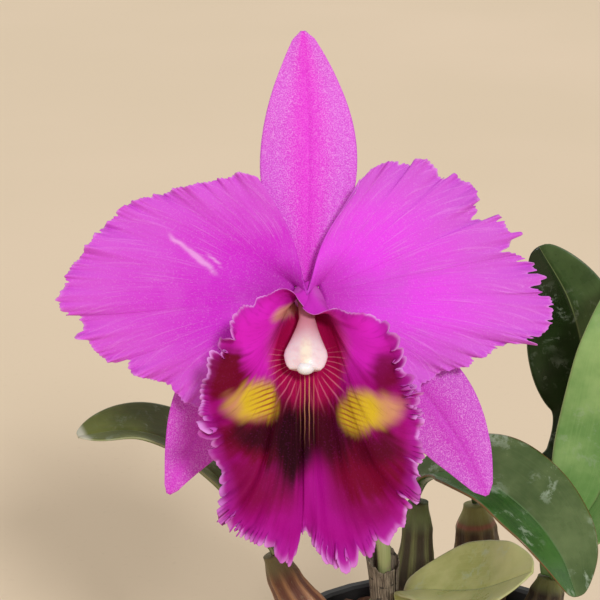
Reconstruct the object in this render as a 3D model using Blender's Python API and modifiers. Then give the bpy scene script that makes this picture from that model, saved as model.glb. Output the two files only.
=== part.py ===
"""A potted cattleya orchid with one large open flower.

Lengths are in millimetres here and are turned into metres when an object is made.
The origin is the middle of the pot's underside, +Z is up and the flower looks along -Y.
The flower's pieces hang on an empty in the flower's centre. In that frame a point is
(across, up, out): to the viewer's right, up in the flower's plane, and towards the viewer.
"""
import math
import random

import bmesh
import bpy
from mathutils import Euler, Matrix, Vector

MM = 0.001
GAP = 0.3

# Pot
POT_HEIGHT = 112.0
POT_FOOT_RADIUS = 49.0
POT_MOUTH_RADIUS = 63.5
POT_WALL = 2.2
POT_FLOOR = 3.0
RIM_RADIUS = 66.0
RIM_DEPTH = 11.0
POT_SIDES = 36
DRAIN_HOLES = 6
DRAIN_RADIUS = 4.5
DRAIN_RING = 33.0

# Bark in the pot
BARK_TOP = 102.0
BARK_ROUGH = 1.2
BARK_EDGE_DROP = 2.0
BARK_SIDE_ROOM = 0.8
BARK_FOOT_ROOM = 2.4
BARK_SIDES = 26
BARK_RINGS = 7
CHIPS = 54
CHIP_SIZE = (19.0, 12.5, 6.5)
CHIP_RING = 47.5
CHIP_CLEAR = 14.5
CHIP_TIP = 0.4
CHIP_SEED = 7
CORE_SEED = 11
GOLDEN_ANGLE = math.pi * (3 - math.sqrt(5))

# Rhizome and roots
RHIZOME_RUNS = [
    ("pseudobulb_far_right", "pseudobulb_right"),
    ("pseudobulb_right", "pseudobulb_middle"),
    ("pseudobulb_middle", "pseudobulb_lead"),
    ("pseudobulb_middle", "pseudobulb_left"),
]
RHIZOME_RADIUS = 3.9
RHIZOME_HEIGHT = 101.2
RHIZOME_SAG = 0.8
STUB_RADIUS = 5.4
STUB_LOW = 96.5
ROOT_RADIUS = 2.6
ROOT_LOW = 62.5
SEAT_ROOM = 0.5

# Pseudobulbs: foot (x, y), top (x, y, z), greatest radius, top radius, number of ridges
BULB_FOOT = 106.0
BULB_FOOT_RADIUS = 5.0
BULB_FLATNESS = 0.86
BULBS = {
    "pseudobulb_lead": ((-17, -20), (-19, -21, 142), 10.5, 8.8, 8),
    "pseudobulb_left": ((-43, -8), (-61.5, -5, 153.5), 8.6, 4.2, 8),
    "pseudobulb_middle": ((-10, 12), (-8.5, 12, 166.5), 8.0, 3.8, 7),
    "pseudobulb_right": ((17, 27), (13.8, 27, 159), 11.0, 4.4, 9),
    "pseudobulb_far_right": ((37, 10), (41, 12, 136), 9.0, 4.4, 8),
}
BULB_COLOURS = {
    "pseudobulb_lead": (0.10, 0.07, 0.03),
    "pseudobulb_left": (0.09, 0.034, 0.014),
    "pseudobulb_middle": (0.08, 0.067, 0.03),
    "pseudobulb_right": (0.073, 0.044, 0.016),
    "pseudobulb_far_right": (0.07, 0.05, 0.02),
}
BULB_SIDES = 14
BULB_RINGS = 11
RIDGE_SHARE = 0.07

# Leaves: middle line from the bulb's top, width, and where the upper side looks at the foot, middle and tip
LEAF_THICKNESS = 1.8
LEAF_FOOT_SHARE = 0.14
LEAF_TIP_SHARE = 0.1
LEAF_FOLD_FOOT = 0.55
LEAF_FOLD_TIP = 0.2
LEAF_RIPPLE = 0.03
LEAVES = {
    "leaf_left": (
        [(-5, 1.5, 8), (-14, 6, 18), (-25, 8, 30), (-38, 8, 40), (-52, 5, 45), (-69, -2, 46)],
        36.0, (0.9, -0.4, 0.4), (0.6, -0.1, 0.9), (0.1, 0.05, 1.0),
    ),
    "leaf_arched": (
        [(3, 1, 8), (11, -1, 11.5), (25, -9, 10), (39, -20, 2.5), (49, -31, -8), (54, -41, -19)],
        45.0, (-0.8, 0.1, 0.4), (0.05, -0.4, 0.9), (0.6, -0.5, 0.7),
    ),
    "leaf_tall": (
        [(2, 2, 6), (12, 7, 10), (32, 12, 14), (42, 14, 30), (42, 14, 52), (38, 13, 74), (26, 11, 97)],
        39.0, (-0.8, -0.5, 0.3), (-0.5, -0.9, 0.1), (-0.35, -1.0, 0.1),
    ),
    "leaf_bright": (
        [(1.5, 0.5, 6), (6, 2, 14), (16, 3, 31), (22, 1, 58), (24, -2, 90), (24, -2, 118)],
        46.0, (-0.6, -0.7, 0.2), (-0.4, -0.9, 0.2), (-0.3, -1.0, 0.15),
    ),
    "leaf_front": (
        [(1, -1, 5), (7, -6, 10), (16, -12, 13.5), (25, -20, 17), (33, -28, 22), (40, -36, 27)],
        36.0, (-0.75, 0.45, 0.4), (-0.1, -0.05, 1.0), (0.1, 0.1, 1.0),
    ),
}
LEAF_COLOURS = {
    "leaf_left": (0.067, 0.068, 0.018),
    "leaf_arched": (0.094, 0.129, 0.06),
    "leaf_tall": (0.05, 0.075, 0.025),
    "leaf_bright": (0.192, 0.33, 0.102),
    "leaf_front": (0.286, 0.321, 0.131),
}
LEAF_BULB = {
    "leaf_left": "pseudobulb_left",
    "leaf_arched": "pseudobulb_middle",
    "leaf_tall": "pseudobulb_right",
    "leaf_bright": "pseudobulb_far_right",
    "leaf_front": "pseudobulb_lead",
}
FRONT_LEAF_OFFSET = Vector((4.6, -2.8, 0))

# Sheath and flower stem
STEM_OFFSET = Vector((-2.7, 1.7, 0))
STEM_RADIUS = 2.4
STEM_WAY = [(-31, -4, 196), (-44, 2, 226)]
OVARY_RADIUS = 4.2
SHEATH_RADIUS = 4.7
SHEATH_HEIGHT = 19.0
SHEATH_WALL = 0.8
SHEATH_SLIT = 0.04
SHEATH_FLARE = 0.22
SHEATH_LEAN = 0.06

# Flower: centre, and how far its face is tipped up
FLOWER_CENTRE = (-49.7, -42.0, 263.0)
FLOWER_TIP = math.radians(18)
KNOB_BACK = -11.0
KNOB_FRONT = -0.6
BLADE_THICKNESS = 0.8

# Sepals: middle line, width, share of the length where they are widest
SEPAL_FOOT_SHARE = 0.24
SEPAL_TIP_SHARE = 0.12
SEPAL_CUP = 1.6
SEPAL_RIPPLE = 0.7
SEPALS = {
    "dorsal_sepal": (
        [(0, 4.9, -8), (0.2, 28, -9), (0.6, 52, -10.5), (-0.2, 72, -11), (-1.3, 87.5, -9.5)],
        32.6, 0.48,
    ),
    "lateral_sepal_left": (
        [(-4.25, -2.45, -8), (-22, -20, -10), (-35.5, -38, -12), (-43.5, -53, -13), (-47, -65, -12)],
        29.0, 0.5,
    ),
    "lateral_sepal_right": (
        [(4.25, -2.45, -8), (25, -19, -10), (41.5, -35, -12), (52.5, -51, -13), (58.5, -65, -12)],
        30.0, 0.5,
    ),
}

# Petals: margin from beside the dorsal sepal round to the lower edge
CLAW_OUT = -3.0
CLAW_HALF = 4.3
CLAW_TURN = math.radians(75)
PETAL_RISE = 5.0
PETAL_DROOP = 5.0
PETAL_PLEAT = 0.9
PETAL_RUFFLE = 3.7
PETAL_SCALLOP = 0.028
PETAL_TUCK = (4.5, 2.0, 1.5)
LEFT_MARGIN = [
    (-16.2, 39.5), (-24, 41), (-34, 38), (-46, 35.5), (-57, 31.5), (-67.5, 24), (-75, 13.5), (-81, 2),
    (-80.5, -6), (-73.5, -13.5), (-63, -22.5), (-51, -28), (-40.5, -34.5), (-31, -38.5), (-24, -36),
]
RIGHT_MARGIN = [
    (16, 34), (20, 41), (28, 44.5), (38, 45.5), (49, 41), (57, 32), (66, 25), (73.5, 12),
    (80.5, 0), (81, -8), (74, -16), (62, -19.5), (51, -24), (42, -28), (33, -31), (25, -30),
]

# Lip: margin from the seam over the column, down the left, along the bottom and up the right
LIP_FOOT_RADIUS = 5.2
LIP_FOOT_OUT = 0.5
LIP_SEAM = 0.08
LIP_SCALLOP = 1.6
LIP_RUFFLE = 4.2
LIP_MARGIN = [
    (-0.5, -5.2, 14), (-3.5, -1, 16), (-8, 1.2, 18), (-15, 0, 20), (-22, -5, 21.5), (-27.5, -11, 22.5),
    (-31, -19, 23), (-34, -28, 23), (-34.5, -37, 23), (-31, -45, 24), (-29.5, -54, 26), (-27.5, -64, 27),
    (-24.5, -75, 26), (-17, -80.5, 25), (-8, -85, 24.5), (-1, -80.5, 26), (7, -84.5, 24.5), (17, -86, 24),
    (25, -81.5, 24.5), (31, -73.5, 26), (34, -64, 27), (36.5, -54, 26.5), (35.5, -44, 25), (36.5, -35, 24),
    (33, -24, 23.5), (29.5, -14, 23), (24, -6, 22), (15, -3.5, 20), (8, -3, 18), (3.5, -4, 16),
    (0.5, -5.2, 14),
]

# Column
COLUMN_LINE = [(0, 0, -0.3), (0, 0, 1.6), (0, -6.8, 8.0), (-0.3, -15.6, 14.3), (-0.6, -22.4, 19.0)]
COLUMN_WIDTH = [(0, 3.9), (0.3, 3.6), (0.45, 3.8), (0.82, 7.1), (0.93, 6.6), (1, 5.2)]
COLUMN_DEPTH = [(0, 3.9), (0.3, 3.7), (0.75, 4.0), (1, 3.2)]
CAP_LENGTH = 3.4
CAP_RADIUS = [(0, 4.0), (0.45, 3.7), (1, 1.6)]
CAP_FLATNESS = 0.8


class Path:
    """A smooth curve through given points, read by the share of its length."""

    def __init__(self, points):
        self.points = [Vector(p).to_3d() for p in points]
        run = [0.0]
        for a, b in zip(self.points, self.points[1:]):
            run.append(run[-1] + (b - a).length)
        self.marks = [r / run[-1] for r in run]

    def slope(self, i):
        a = max(i - 1, 0)
        b = min(i + 1, len(self.points) - 1)
        return (self.points[b] - self.points[a]) / (self.marks[b] - self.marks[a])

    def at(self, share):
        share = min(max(share, 0.0), 1.0)
        i = 0
        while i < len(self.points) - 2 and share > self.marks[i + 1]:
            i += 1
        span = self.marks[i + 1] - self.marks[i]
        s = (share - self.marks[i]) / span
        start = self.points[i] * (2 * s**3 - 3 * s**2 + 1) + self.slope(i) * span * (s**3 - 2 * s**2 + s)
        end = self.points[i + 1] * (3 * s**2 - 2 * s**3) + self.slope(i + 1) * span * (s**3 - s**2)
        return start + end

    def heading(self, share):
        if share <= 0 or share >= 1:
            return self.slope(0 if share <= 0 else len(self.points) - 1).normalized()
        step = min(0.01, share, 1 - share)
        return (self.at(share + step) - self.at(share - step)).normalized()


def blend(stops, share):
    """Runs smoothly from stop to stop; each stop is (share, value)."""
    for (a, low), (b, high) in zip(stops, stops[1:]):
        if share <= b:
            s = (share - a) / (b - a)
            return low + (high - low) * s * s * (3 - 2 * s)
    return stops[-1][1]


def wave(share, cycles, phase):
    """An uneven wave between about -1 and 1."""
    slow = math.sin(math.tau * cycles * share + phase)
    fast = math.sin(math.tau * cycles * 1.62 * share + 2.3 * phase)
    return 0.65 * slow + 0.35 * fast


def blade_width(share, foot, widest, tip, roundness):
    """Half width of a blade along its length, from 0 to 1."""
    if share < widest:
        return foot + (1 - foot) * math.sin(math.pi / 2 * share / widest) ** 1.15
    rest = (share - widest) / (1 - widest)
    return tip + (1 - tip) * math.cos(math.pi / 2 * rest) ** roundness


def material(name, colour, roughness):
    mat = bpy.data.materials.new(name)
    mat.use_nodes = True
    shader = mat.node_tree.nodes["Principled BSDF"]
    shader.inputs["Base Color"].default_value = (*colour, 1.0)
    shader.inputs["Roughness"].default_value = roughness
    shader.inputs["Metallic"].default_value = 0.0
    return mat


def add_object(name, bm, colour, roughness, location=(0, 0, 0), parent=None, smooth=True):
    """Makes a named object of a mesh in millimetres, with its own material."""
    bmesh.ops.scale(bm, vec=(MM, MM, MM), verts=bm.verts)
    mesh = bpy.data.meshes.new(name)
    bm.to_mesh(mesh)
    bm.free()
    if smooth:
        mesh.shade_smooth()
        mesh.set_sharp_from_angle(angle=math.radians(50))
    mesh.materials.append(material(name, colour, roughness))
    obj = bpy.data.objects.new(name, mesh)
    obj.location = Vector(location) * MM
    obj.parent = parent
    plant.objects.link(obj)
    return obj


def solidify(obj, thickness):
    """Gives a sheet its thickness, half to each side."""
    shell = obj.modifiers.new("thickness", "SOLIDIFY")
    shell.thickness = thickness * MM
    shell.offset = 0.0


def sheet(surface, u_steps, v_steps):
    """Lays a grid on surface(u, v), both from 0 to 1, and splits it into triangles."""
    bm = bmesh.new()
    bmesh.ops.create_grid(bm, x_segments=u_steps, y_segments=v_steps, size=0.5)
    for vert in bm.verts:
        vert.co = surface(vert.co.x + 0.5, vert.co.y + 0.5)
    bmesh.ops.triangulate(bm, faces=bm.faces)
    return bm


def body(line, width, depth, sides, rings, side_hint, ridges=0):
    """Shapes a sphere into a closed stem or bulb with flat ends along a line."""
    bm = bmesh.new()
    bmesh.ops.create_uvsphere(bm, u_segments=sides, v_segments=rings, radius=1.0)
    for vert in bm.verts:
        ring = rings - round(math.acos(max(-1.0, min(1.0, vert.co.z))) / math.pi * rings)
        angle = math.atan2(vert.co.y, vert.co.x)
        share = min(max((ring - 1) / (rings - 2), 0.0), 1.0)
        along = line.heading(share)
        side = (side_hint - along * side_hint.dot(along)).normalized()
        front = along.cross(side)
        if ring in (0, rings):
            vert.co = line.at(share)
            continue
        swell = 1 + RIDGE_SHARE * math.cos(ridges * angle) * math.sin(math.pi * share) if ridges else 1.0
        offset = side * math.cos(angle) * width(share) + front * math.sin(angle) * depth(share)
        vert.co = line.at(share) + offset * swell
    return bm


def flower_point(across, up, out):
    return Vector((across, -out, up))


def waved(surface, height):
    """Moves a surface along its own normal by height(u, v)."""

    def moved(u, v):
        step = 0.004
        du = surface(min(u + step, 1), v) - surface(max(u - step, 0), v)
        dv = surface(u, min(v + step, 1)) - surface(u, max(v - step, 0))
        return surface(u, v) + du.cross(dv).normalized() * height(u, v)

    return moved


def make_pot():
    """A thin turned pot with a rolled rim band and drain holes round a solid middle."""
    inner_foot = POT_FOOT_RADIUS - POT_WALL
    inner_mouth = POT_MOUTH_RADIUS - POT_WALL
    band_low = POT_HEIGHT - RIM_DEPTH
    wall_at_band = POT_FOOT_RADIUS + (POT_MOUTH_RADIUS - POT_FOOT_RADIUS) * band_low / POT_HEIGHT
    profile = [
        (0, POT_FLOOR), (inner_foot - 2, POT_FLOOR), (inner_foot, POT_FLOOR + 2),
        (inner_mouth, POT_HEIGHT - 1), (inner_mouth + 1, POT_HEIGHT),
        (RIM_RADIUS - 1, POT_HEIGHT), (RIM_RADIUS, POT_HEIGHT - 1),
        (RIM_RADIUS - 0.6, band_low), (wall_at_band, band_low - 1), (POT_FOOT_RADIUS + 0.6, 3),
        (POT_FOOT_RADIUS - 1.5, 0), (0, 0),
    ]
    bm = bmesh.new()
    points = [bm.verts.new((radius, 0, height)) for radius, height in profile]
    for a, b in zip(points, points[1:]):
        bm.edges.new((a, b))
    pot = add_object("pot", bm, (0.013, 0.014, 0.016), 0.42, smooth=False)
    turn = pot.modifiers.new("turn", "SCREW")
    turn.steps = POT_SIDES
    turn.render_steps = POT_SIDES
    turn.use_merge_vertices = True
    turn.merge_threshold = 0.00005
    drills = [drain_drill(i) for i in range(DRAIN_HOLES)]
    for drill in drills:
        cut = pot.modifiers.new("drain", "BOOLEAN")
        cut.object = drill
        cut.solver = "EXACT"
    return pot


def hide(obj):
    obj.hide_render = True
    obj.display_type = "WIRE"
    return obj


def drain_drill(index):
    angle = math.tau * (index + 0.5) / DRAIN_HOLES
    centre = (DRAIN_RING * math.cos(angle), DRAIN_RING * math.sin(angle))
    mesh = upright(centre, DRAIN_RADIUS, DRAIN_RADIUS, -2, POT_FLOOR + 2, 16)
    drill = hide(bpy.data.objects.new("drain_drill", mesh))
    tools.objects.link(drill)
    return drill


def bark_core():
    """The filling of the pot under the loose chips, with an uneven top."""
    draw = random.Random(CORE_SEED)
    top_rings = BARK_RINGS - 3
    slope = (POT_MOUTH_RADIUS - POT_FOOT_RADIUS) / POT_HEIGHT
    top_radius = POT_FOOT_RADIUS - POT_WALL - GAP + slope * BARK_TOP - BARK_SIDE_ROOM
    low = POT_FLOOR + GAP
    low_radius = POT_FOOT_RADIUS - POT_WALL - GAP - BARK_FOOT_ROOM
    bm = bmesh.new()
    bmesh.ops.create_uvsphere(bm, u_segments=BARK_SIDES, v_segments=BARK_RINGS, radius=MM)
    for vert in bm.verts:
        ring = round(math.acos(max(-1.0, min(1.0, vert.co.z / MM))) / math.pi * BARK_RINGS)
        angle = math.atan2(vert.co.y, vert.co.x)
        radius = top_radius * ring / top_rings
        height = BARK_TOP + draw.uniform(-1, 1) * BARK_ROUGH
        if ring == top_rings:
            height = BARK_TOP - BARK_EDGE_DROP
        elif ring == BARK_RINGS:
            radius, height = 0, low
        elif ring > top_rings:
            radius = low_radius if ring == BARK_RINGS - 2 else low_radius / 2
            height = low
        vert.co = Vector((radius * math.cos(angle), radius * math.sin(angle), height)) * MM
    mesh = bpy.data.meshes.new("bark_core")
    bm.to_mesh(mesh)
    bm.free()
    return mesh


def bark_chip(centre, draw):
    """A flat block with uneven corners, turned and tipped at random."""
    bm = bmesh.new()
    bmesh.ops.create_cube(bm, size=1.0)
    scale = draw.uniform(0.8, 1.15)
    pitch, roll = draw.uniform(-CHIP_TIP, CHIP_TIP), draw.uniform(-CHIP_TIP, CHIP_TIP)
    turn = Euler((pitch, roll, draw.uniform(0, math.tau))).to_matrix()
    for vert in bm.verts:
        uneven = Vector([draw.uniform(0.75, 1.1) for _ in range(3)])
        size = Vector(CHIP_SIZE) * uneven * scale
        corner = Vector([share * length for share, length in zip(vert.co, size)])
        vert.co = (centre + turn @ corner) * MM
    mesh = bpy.data.meshes.new("chip")
    bm.to_mesh(mesh)
    bm.free()
    return mesh


def make_bark():
    """Chips laid out in a spiral over the core, clear of the bulbs."""
    draw = random.Random(CHIP_SEED)
    taken = [Vector(spec[0]) for spec in BULBS.values()]
    pieces = [bark_core()]
    for i in range(CHIPS):
        radius = CHIP_RING * math.sqrt((i + 0.5) / CHIPS)
        angle = i * GOLDEN_ANGLE
        spot = Vector((radius * math.cos(angle), radius * math.sin(angle)))
        height = BARK_TOP + draw.uniform(0.2, 1.8)
        chip = bark_chip(Vector((*spot, height)), draw)
        if all((spot - foot).length > CHIP_CLEAR for foot in taken):
            pieces.append(chip)
    return join("bark_medium", pieces, (0.11, 0.055, 0.026), 0.85)


def rhizome_pieces():
    """The creeping stem, a stub under each bulb, and a root below each stub."""
    feet = {name: Vector((*spec[0], RHIZOME_HEIGHT)) for name, spec in BULBS.items()}
    pieces = []
    for a, b in RHIZOME_RUNS:
        middle = feet[a].lerp(feet[b], 0.5) - Vector((0, 0, RHIZOME_SAG))
        pieces.append(tube([feet[a], middle, feet[b]], RHIZOME_RADIUS))
    for foot in feet.values():
        pieces.append(upright(foot, STUB_RADIUS, STUB_RADIUS, STUB_LOW, BULB_FOOT - GAP, 12))
        pieces.append(upright(foot, ROOT_RADIUS / 2, ROOT_RADIUS, ROOT_LOW, STUB_LOW + 3, 7))
    return pieces


def upright(centre, low_radius, high_radius, low, high, sides):
    """A standing round bar between two heights, as a mesh."""
    bm = bmesh.new()
    tall = (high - low) * MM
    bmesh.ops.create_cone(
        bm, cap_ends=True, segments=sides, radius1=low_radius * MM, radius2=high_radius * MM, depth=tall
    )
    bmesh.ops.translate(bm, verts=bm.verts, vec=Vector((centre[0], centre[1], (low + high) / 2)) * MM)
    mesh = bpy.data.meshes.new("upright")
    bm.to_mesh(mesh)
    bm.free()
    return mesh


def tube(points, radius):
    """A capped tube with eight sides through points, as a mesh."""
    curve = bpy.data.curves.new("tube", "CURVE")
    curve.dimensions = "3D"
    curve.bevel_depth = radius * MM
    curve.bevel_resolution = 2
    curve.resolution_u = 1
    curve.use_fill_caps = True
    spline = curve.splines.new("POLY")
    spline.points.add(len(points) - 1)
    for point, co in zip(spline.points, points):
        point.co = (*(co * MM), 1.0)
    holder = bpy.data.objects.new("tube", curve)
    tools.objects.link(holder)
    bpy.context.view_layer.update()
    mesh = bpy.data.meshes.new_from_object(holder.evaluated_get(bpy.context.evaluated_depsgraph_get()))
    bpy.data.objects.remove(holder)
    bm = bmesh.new()
    bm.from_mesh(mesh)
    bmesh.ops.remove_doubles(bm, verts=bm.verts, dist=1e-6)
    bmesh.ops.recalc_face_normals(bm, faces=bm.faces)
    bm.to_mesh(mesh)
    bm.free()
    return mesh


def join(name, meshes, colour, roughness):
    """One solid of all the meshes."""
    first = bpy.data.objects.new(name, meshes[0])
    plant.objects.link(first)
    rest = bpy.data.collections.new(name + "_pieces")
    tools.children.link(rest)
    for mesh in meshes[1:]:
        rest.objects.link(bpy.data.objects.new("piece", mesh))
    combine(first, rest, "UNION")
    first.data.materials.clear()
    first.data.materials.append(material(name, colour, roughness))
    return first


def combine(obj, others, operation):
    """Applies one Boolean with a collection to an object and removes the collection."""
    step = obj.modifiers.new("combine", "BOOLEAN")
    step.operation = operation
    step.operand_type = "COLLECTION"
    step.collection = others
    step.solver = "EXACT"
    bpy.context.view_layer.update()
    mesh = bpy.data.meshes.new_from_object(obj.evaluated_get(bpy.context.evaluated_depsgraph_get()))
    mesh.name = obj.name
    obj.modifiers.clear()
    obj.data = mesh
    for other in list(others.objects):
        bpy.data.objects.remove(other)
    bpy.data.collections.remove(others)


def bulb_line(name):
    """Middle line of a bulb from its foot, straight up at first, and the foot itself."""
    (foot_x, foot_y), top = BULBS[name][:2]
    foot = Vector((foot_x, foot_y, BULB_FOOT))
    rise = Vector(top) - foot
    lean = Vector((0, 0, rise.z * 0.35)) + rise.xy.to_3d() * 0.12
    return Path([(0, 0, 0), (0, 0, 3), lean, rise * 0.72 + Vector((0, 0, 1)), rise]), foot


def make_bulb(name):
    widest, top_radius, ridges = BULBS[name][2:]
    line, foot = bulb_line(name)
    stops = [
        (0, BULB_FOOT_RADIUS), (0.16, widest * 0.78), (0.42, widest), (0.8, widest * 0.72), (1, top_radius),
    ]

    def radius(share):
        return blend(stops, share)

    def depth(share):
        return radius(share) * BULB_FLATNESS

    bm = body(line, radius, depth, BULB_SIDES, BULB_RINGS, Vector((1, 0, 0)), ridges)
    return add_object(name, bm, BULB_COLOURS[name], 0.55, location=foot)


def make_leaf(name):
    points, width, *facings = LEAVES[name]
    bulb, foot = bulb_line(LEAF_BULB[name])
    axis = bulb.heading(1)
    start = foot + bulb.at(1) + axis * GAP * 1.6
    if name == "leaf_front":
        start += FRONT_LEAF_OFFSET - axis * axis.dot(FRONT_LEAF_OFFSET)
    line = Path([(0, 0, 0), axis * 2.5, *points])
    looks = Path(facings)

    def surface(u, v):
        share = 0.5 * u + 0.5 * (0.5 - 0.5 * math.cos(math.pi * u))
        along = line.heading(share)
        side = along.cross(looks.at(share)).normalized()
        upper = side.cross(along)
        across = 2 * v - 1
        half = width / 2 * blade_width(share, LEAF_FOOT_SHARE, 0.5, LEAF_TIP_SHARE, 0.6)
        steepness = LEAF_FOLD_FOOT + (LEAF_FOLD_TIP - LEAF_FOLD_FOOT) * share
        fold = half * steepness * abs(across) ** 1.3
        ripple = LEAF_RIPPLE * width * wave(share, 2.5, 1.0 if across > 0 else 2.6) * abs(across) * share
        return line.at(share) + side * half * across + upper * (fold + ripple)

    leaf = add_object(name, sheet(surface, 14, 4), LEAF_COLOURS[name], 0.35, location=start)
    solidify(leaf, LEAF_THICKNESS)
    return leaf


def lead_top():
    bulb, foot = bulb_line("pseudobulb_lead")
    return foot + bulb.at(1), bulb.heading(1)


def make_sheath():
    """A dry sleeve, open at the top, with a slit down one side."""

    def surface(u, v):
        angle = math.tau * (SHEATH_SLIT / 2 + (1 - SHEATH_SLIT) * v) - 0.6
        height = u * SHEATH_HEIGHT * (0.82 + 0.18 * math.cos(angle - 2.0))
        radius = SHEATH_RADIUS * (1 + SHEATH_FLARE * u * u + 0.05 * math.sin(3 * angle) * u)
        lean = -SHEATH_LEAN * height
        return Vector((radius * math.cos(angle) + lean, BULB_FLATNESS * radius * math.sin(angle), height))

    top, axis = lead_top()
    foot = top + STEM_OFFSET + axis * GAP * 2
    sheath = add_object("sheath", sheet(surface, 4, 14), (0.09, 0.074, 0.057), 0.8, location=foot)
    solidify(sheath, SHEATH_WALL)
    return sheath


def make_stem(flower):
    """The flower stem, which swells into the ovary behind the flower."""
    top, axis = lead_top()
    foot = top + STEM_OFFSET + axis * GAP * 2
    turn = flower.matrix_world
    back = turn @ (flower_point(0, 0, -34) * MM) / MM
    knob = turn @ (flower_point(0, 0, KNOB_BACK) * MM) / MM
    end = turn @ (flower_point(0, 0, KNOB_FRONT) * MM) / MM
    points = [foot, foot + axis * 4, foot + Vector((-1, 0, 22)), *STEM_WAY, back, knob, end]
    line = Path([Vector(p) - foot for p in points])
    stops = [(0, STEM_RADIUS), (0.6, STEM_RADIUS + 0.3), (0.9, OVARY_RADIUS), (1, OVARY_RADIUS)]

    def radius(share):
        return blend(stops, share)

    bm = body(line, radius, radius, 10, 19, Vector((1, 0, 0)))
    return add_object("flower_stem", bm, (0.2, 0.24, 0.08), 0.45, location=foot)


def make_sepal(name, flower):
    points, width, widest = SEPALS[name]
    line = Path([flower_point(*p) for p in points])

    def surface(u, v):
        along = line.heading(u)
        side = along.cross(Vector((0, -1, 0))).normalized()
        upper = side.cross(along)
        across = 2 * v - 1
        half = width / 2 * blade_width(u, SEPAL_FOOT_SHARE, widest, SEPAL_TIP_SHARE, 0.9)
        cup = -SEPAL_CUP * math.sin(math.pi * min(u * 1.1, 1)) * across * across
        ripple = SEPAL_RIPPLE * wave(u, 1.8, 1.2 + across) * abs(across) * u
        return line.at(u) + side * half * across + upper * (cup + ripple)

    sepal = add_object(name, sheet(surface, 12, 6), (0.80, 0.06, 0.70), 0.5, parent=flower)
    solidify(sepal, BLADE_THICKNESS)
    return sepal


def make_petal(name, margin, side_sign, phase, flower):
    """A broad petal that fans out from a narrow claw to its frilled margin."""
    claw_angle = math.radians(90) - side_sign * CLAW_TURN
    claw = Vector((math.cos(claw_angle), math.sin(claw_angle), 0)) * (OVARY_RADIUS + GAP + 0.15)
    tangent = Vector((-math.sin(claw_angle), math.cos(claw_angle), 0)) * side_sign * CLAW_HALF
    claw_top, claw_low = claw + tangent, claw - tangent
    rim = Path(margin)
    top_in, top_down, low_down = PETAL_TUCK

    def smooth_surface(u, v):
        reach = u**0.9
        flat = claw_top.lerp(claw_low, v).lerp(rim.at(v), reach)
        inner = max(0.0, 1 - v / 0.22) ** 2
        outer = max(0.0, (v - 0.78) / 0.22) ** 2
        bow = math.sin(math.pi * reach)
        flat += Vector((-side_sign * top_in * inner, -top_down * inner - low_down * outer, 0)) * bow
        arch = PETAL_RISE * math.sin(math.pi * 0.62 * reach)
        hang = 0.35 + 0.65 * math.sin(math.pi * (0.15 + 0.6 * v)) - 0.8 * inner
        droop = PETAL_DROOP * reach * reach * hang
        pleat = PETAL_PLEAT * math.sin(math.tau * 2.6 * v + phase) * reach
        return flower_point(flat.x, flat.y, CLAW_OUT + arch - droop + pleat)

    def height(u, v):
        ends = min(1.0, v / 0.1, (1.02 - v) / 0.1)
        return PETAL_RUFFLE * wave(v, 8, phase) * u**4 * (0.3 + 0.7 * ends)

    ruffled = waved(smooth_surface, height)

    def surface(u, v):
        scallop = 1 + PETAL_SCALLOP * wave(v, 11, phase + 2) * max(0.0, u - 0.6) / 0.4
        point = ruffled(u, v)
        return Vector((point.x * scallop, point.y, point.z * scallop))

    petal = add_object(name, sheet(surface, 9, 40), (0.75, 0.055, 0.74), 0.5, parent=flower)
    solidify(petal, BLADE_THICKNESS)
    return petal


def make_lip(flower):
    """A trumpet from a ring round the column's foot to the frilled margin of three lobes."""
    rim = Path([flower_point(*p) for p in LIP_MARGIN])

    def smooth_surface(u, v):
        turn = math.pi / 2 + LIP_SEAM + (math.tau - 2 * LIP_SEAM) * v
        radial = Vector((math.cos(turn), math.sin(turn)))
        foot = flower_point(*(radial * LIP_FOOT_RADIUS), LIP_FOOT_OUT)
        ends = min(1.0, v / 0.05, (1 - v) / 0.05)
        edge = rim.at(v) + flower_point(*radial, 0) * LIP_SCALLOP * wave(v, 9, 2.0) * ends
        down = 0.5 - 0.5 * math.cos(math.tau * v)
        free = blend([(0, 0), (0.09, 1)], min(v, 1 - v))
        over_column = flower_point(0, -0.66, 0.75)
        tube_way = flower_point(0.35 * radial.x, -0.62 - 0.25 * down, 0.78 - 0.52 * down).normalized()
        tube_way = flower_point(0, -0.05, 1).lerp(tube_way, free)
        flare = flower_point(0.9 * radial.x, radial.y - 0.15, -0.05 - 0.35 * down).normalized()
        flare = over_column.lerp(flare, free)
        span = (edge - foot).length
        near = foot + tube_way * span * 0.42
        far = edge - flare * span * 0.34
        w = 1 - u
        return foot * w**3 + near * 3 * w * w * u + far * 3 * w * u * u + edge * u**3

    def height(u, v):
        ends = min(1.0, v / 0.05, (1 - v) / 0.05)
        return LIP_RUFFLE * wave(v, 12, 0.7) * u**4 * ends

    ruffled = waved(smooth_surface, height)
    lip = add_object("lip", sheet(ruffled, 11, 60), (0.40, 0.01, 0.2), 0.45, parent=flower)
    solidify(lip, BLADE_THICKNESS)
    return lip


def make_column(flower):
    """The column with its wings, and the cap that closes its tip."""
    line = Path([flower_point(*p) for p in COLUMN_LINE])
    side = Vector((1, 0, 0))

    def half_width(share):
        return blend(COLUMN_WIDTH, share)

    def half_depth(share):
        return blend(COLUMN_DEPTH, share)

    column = body(line, half_width, half_depth, 12, 11, side)
    add_object("column", column, (0.85, 0.6, 0.65), 0.4, parent=flower)

    tip = line.at(1) + line.heading(1) * GAP
    length = line.heading(1) * CAP_LENGTH

    def cap_width(share):
        return blend(CAP_RADIUS, share)

    def cap_depth(share):
        return blend(CAP_RADIUS, share) * CAP_FLATNESS

    cap = body(Path([tip, tip + length / 2, tip + length]), cap_width, cap_depth, 10, 6, side)
    add_object("anther_cap", cap, (0.9, 0.88, 0.9), 0.4, parent=flower)


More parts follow.
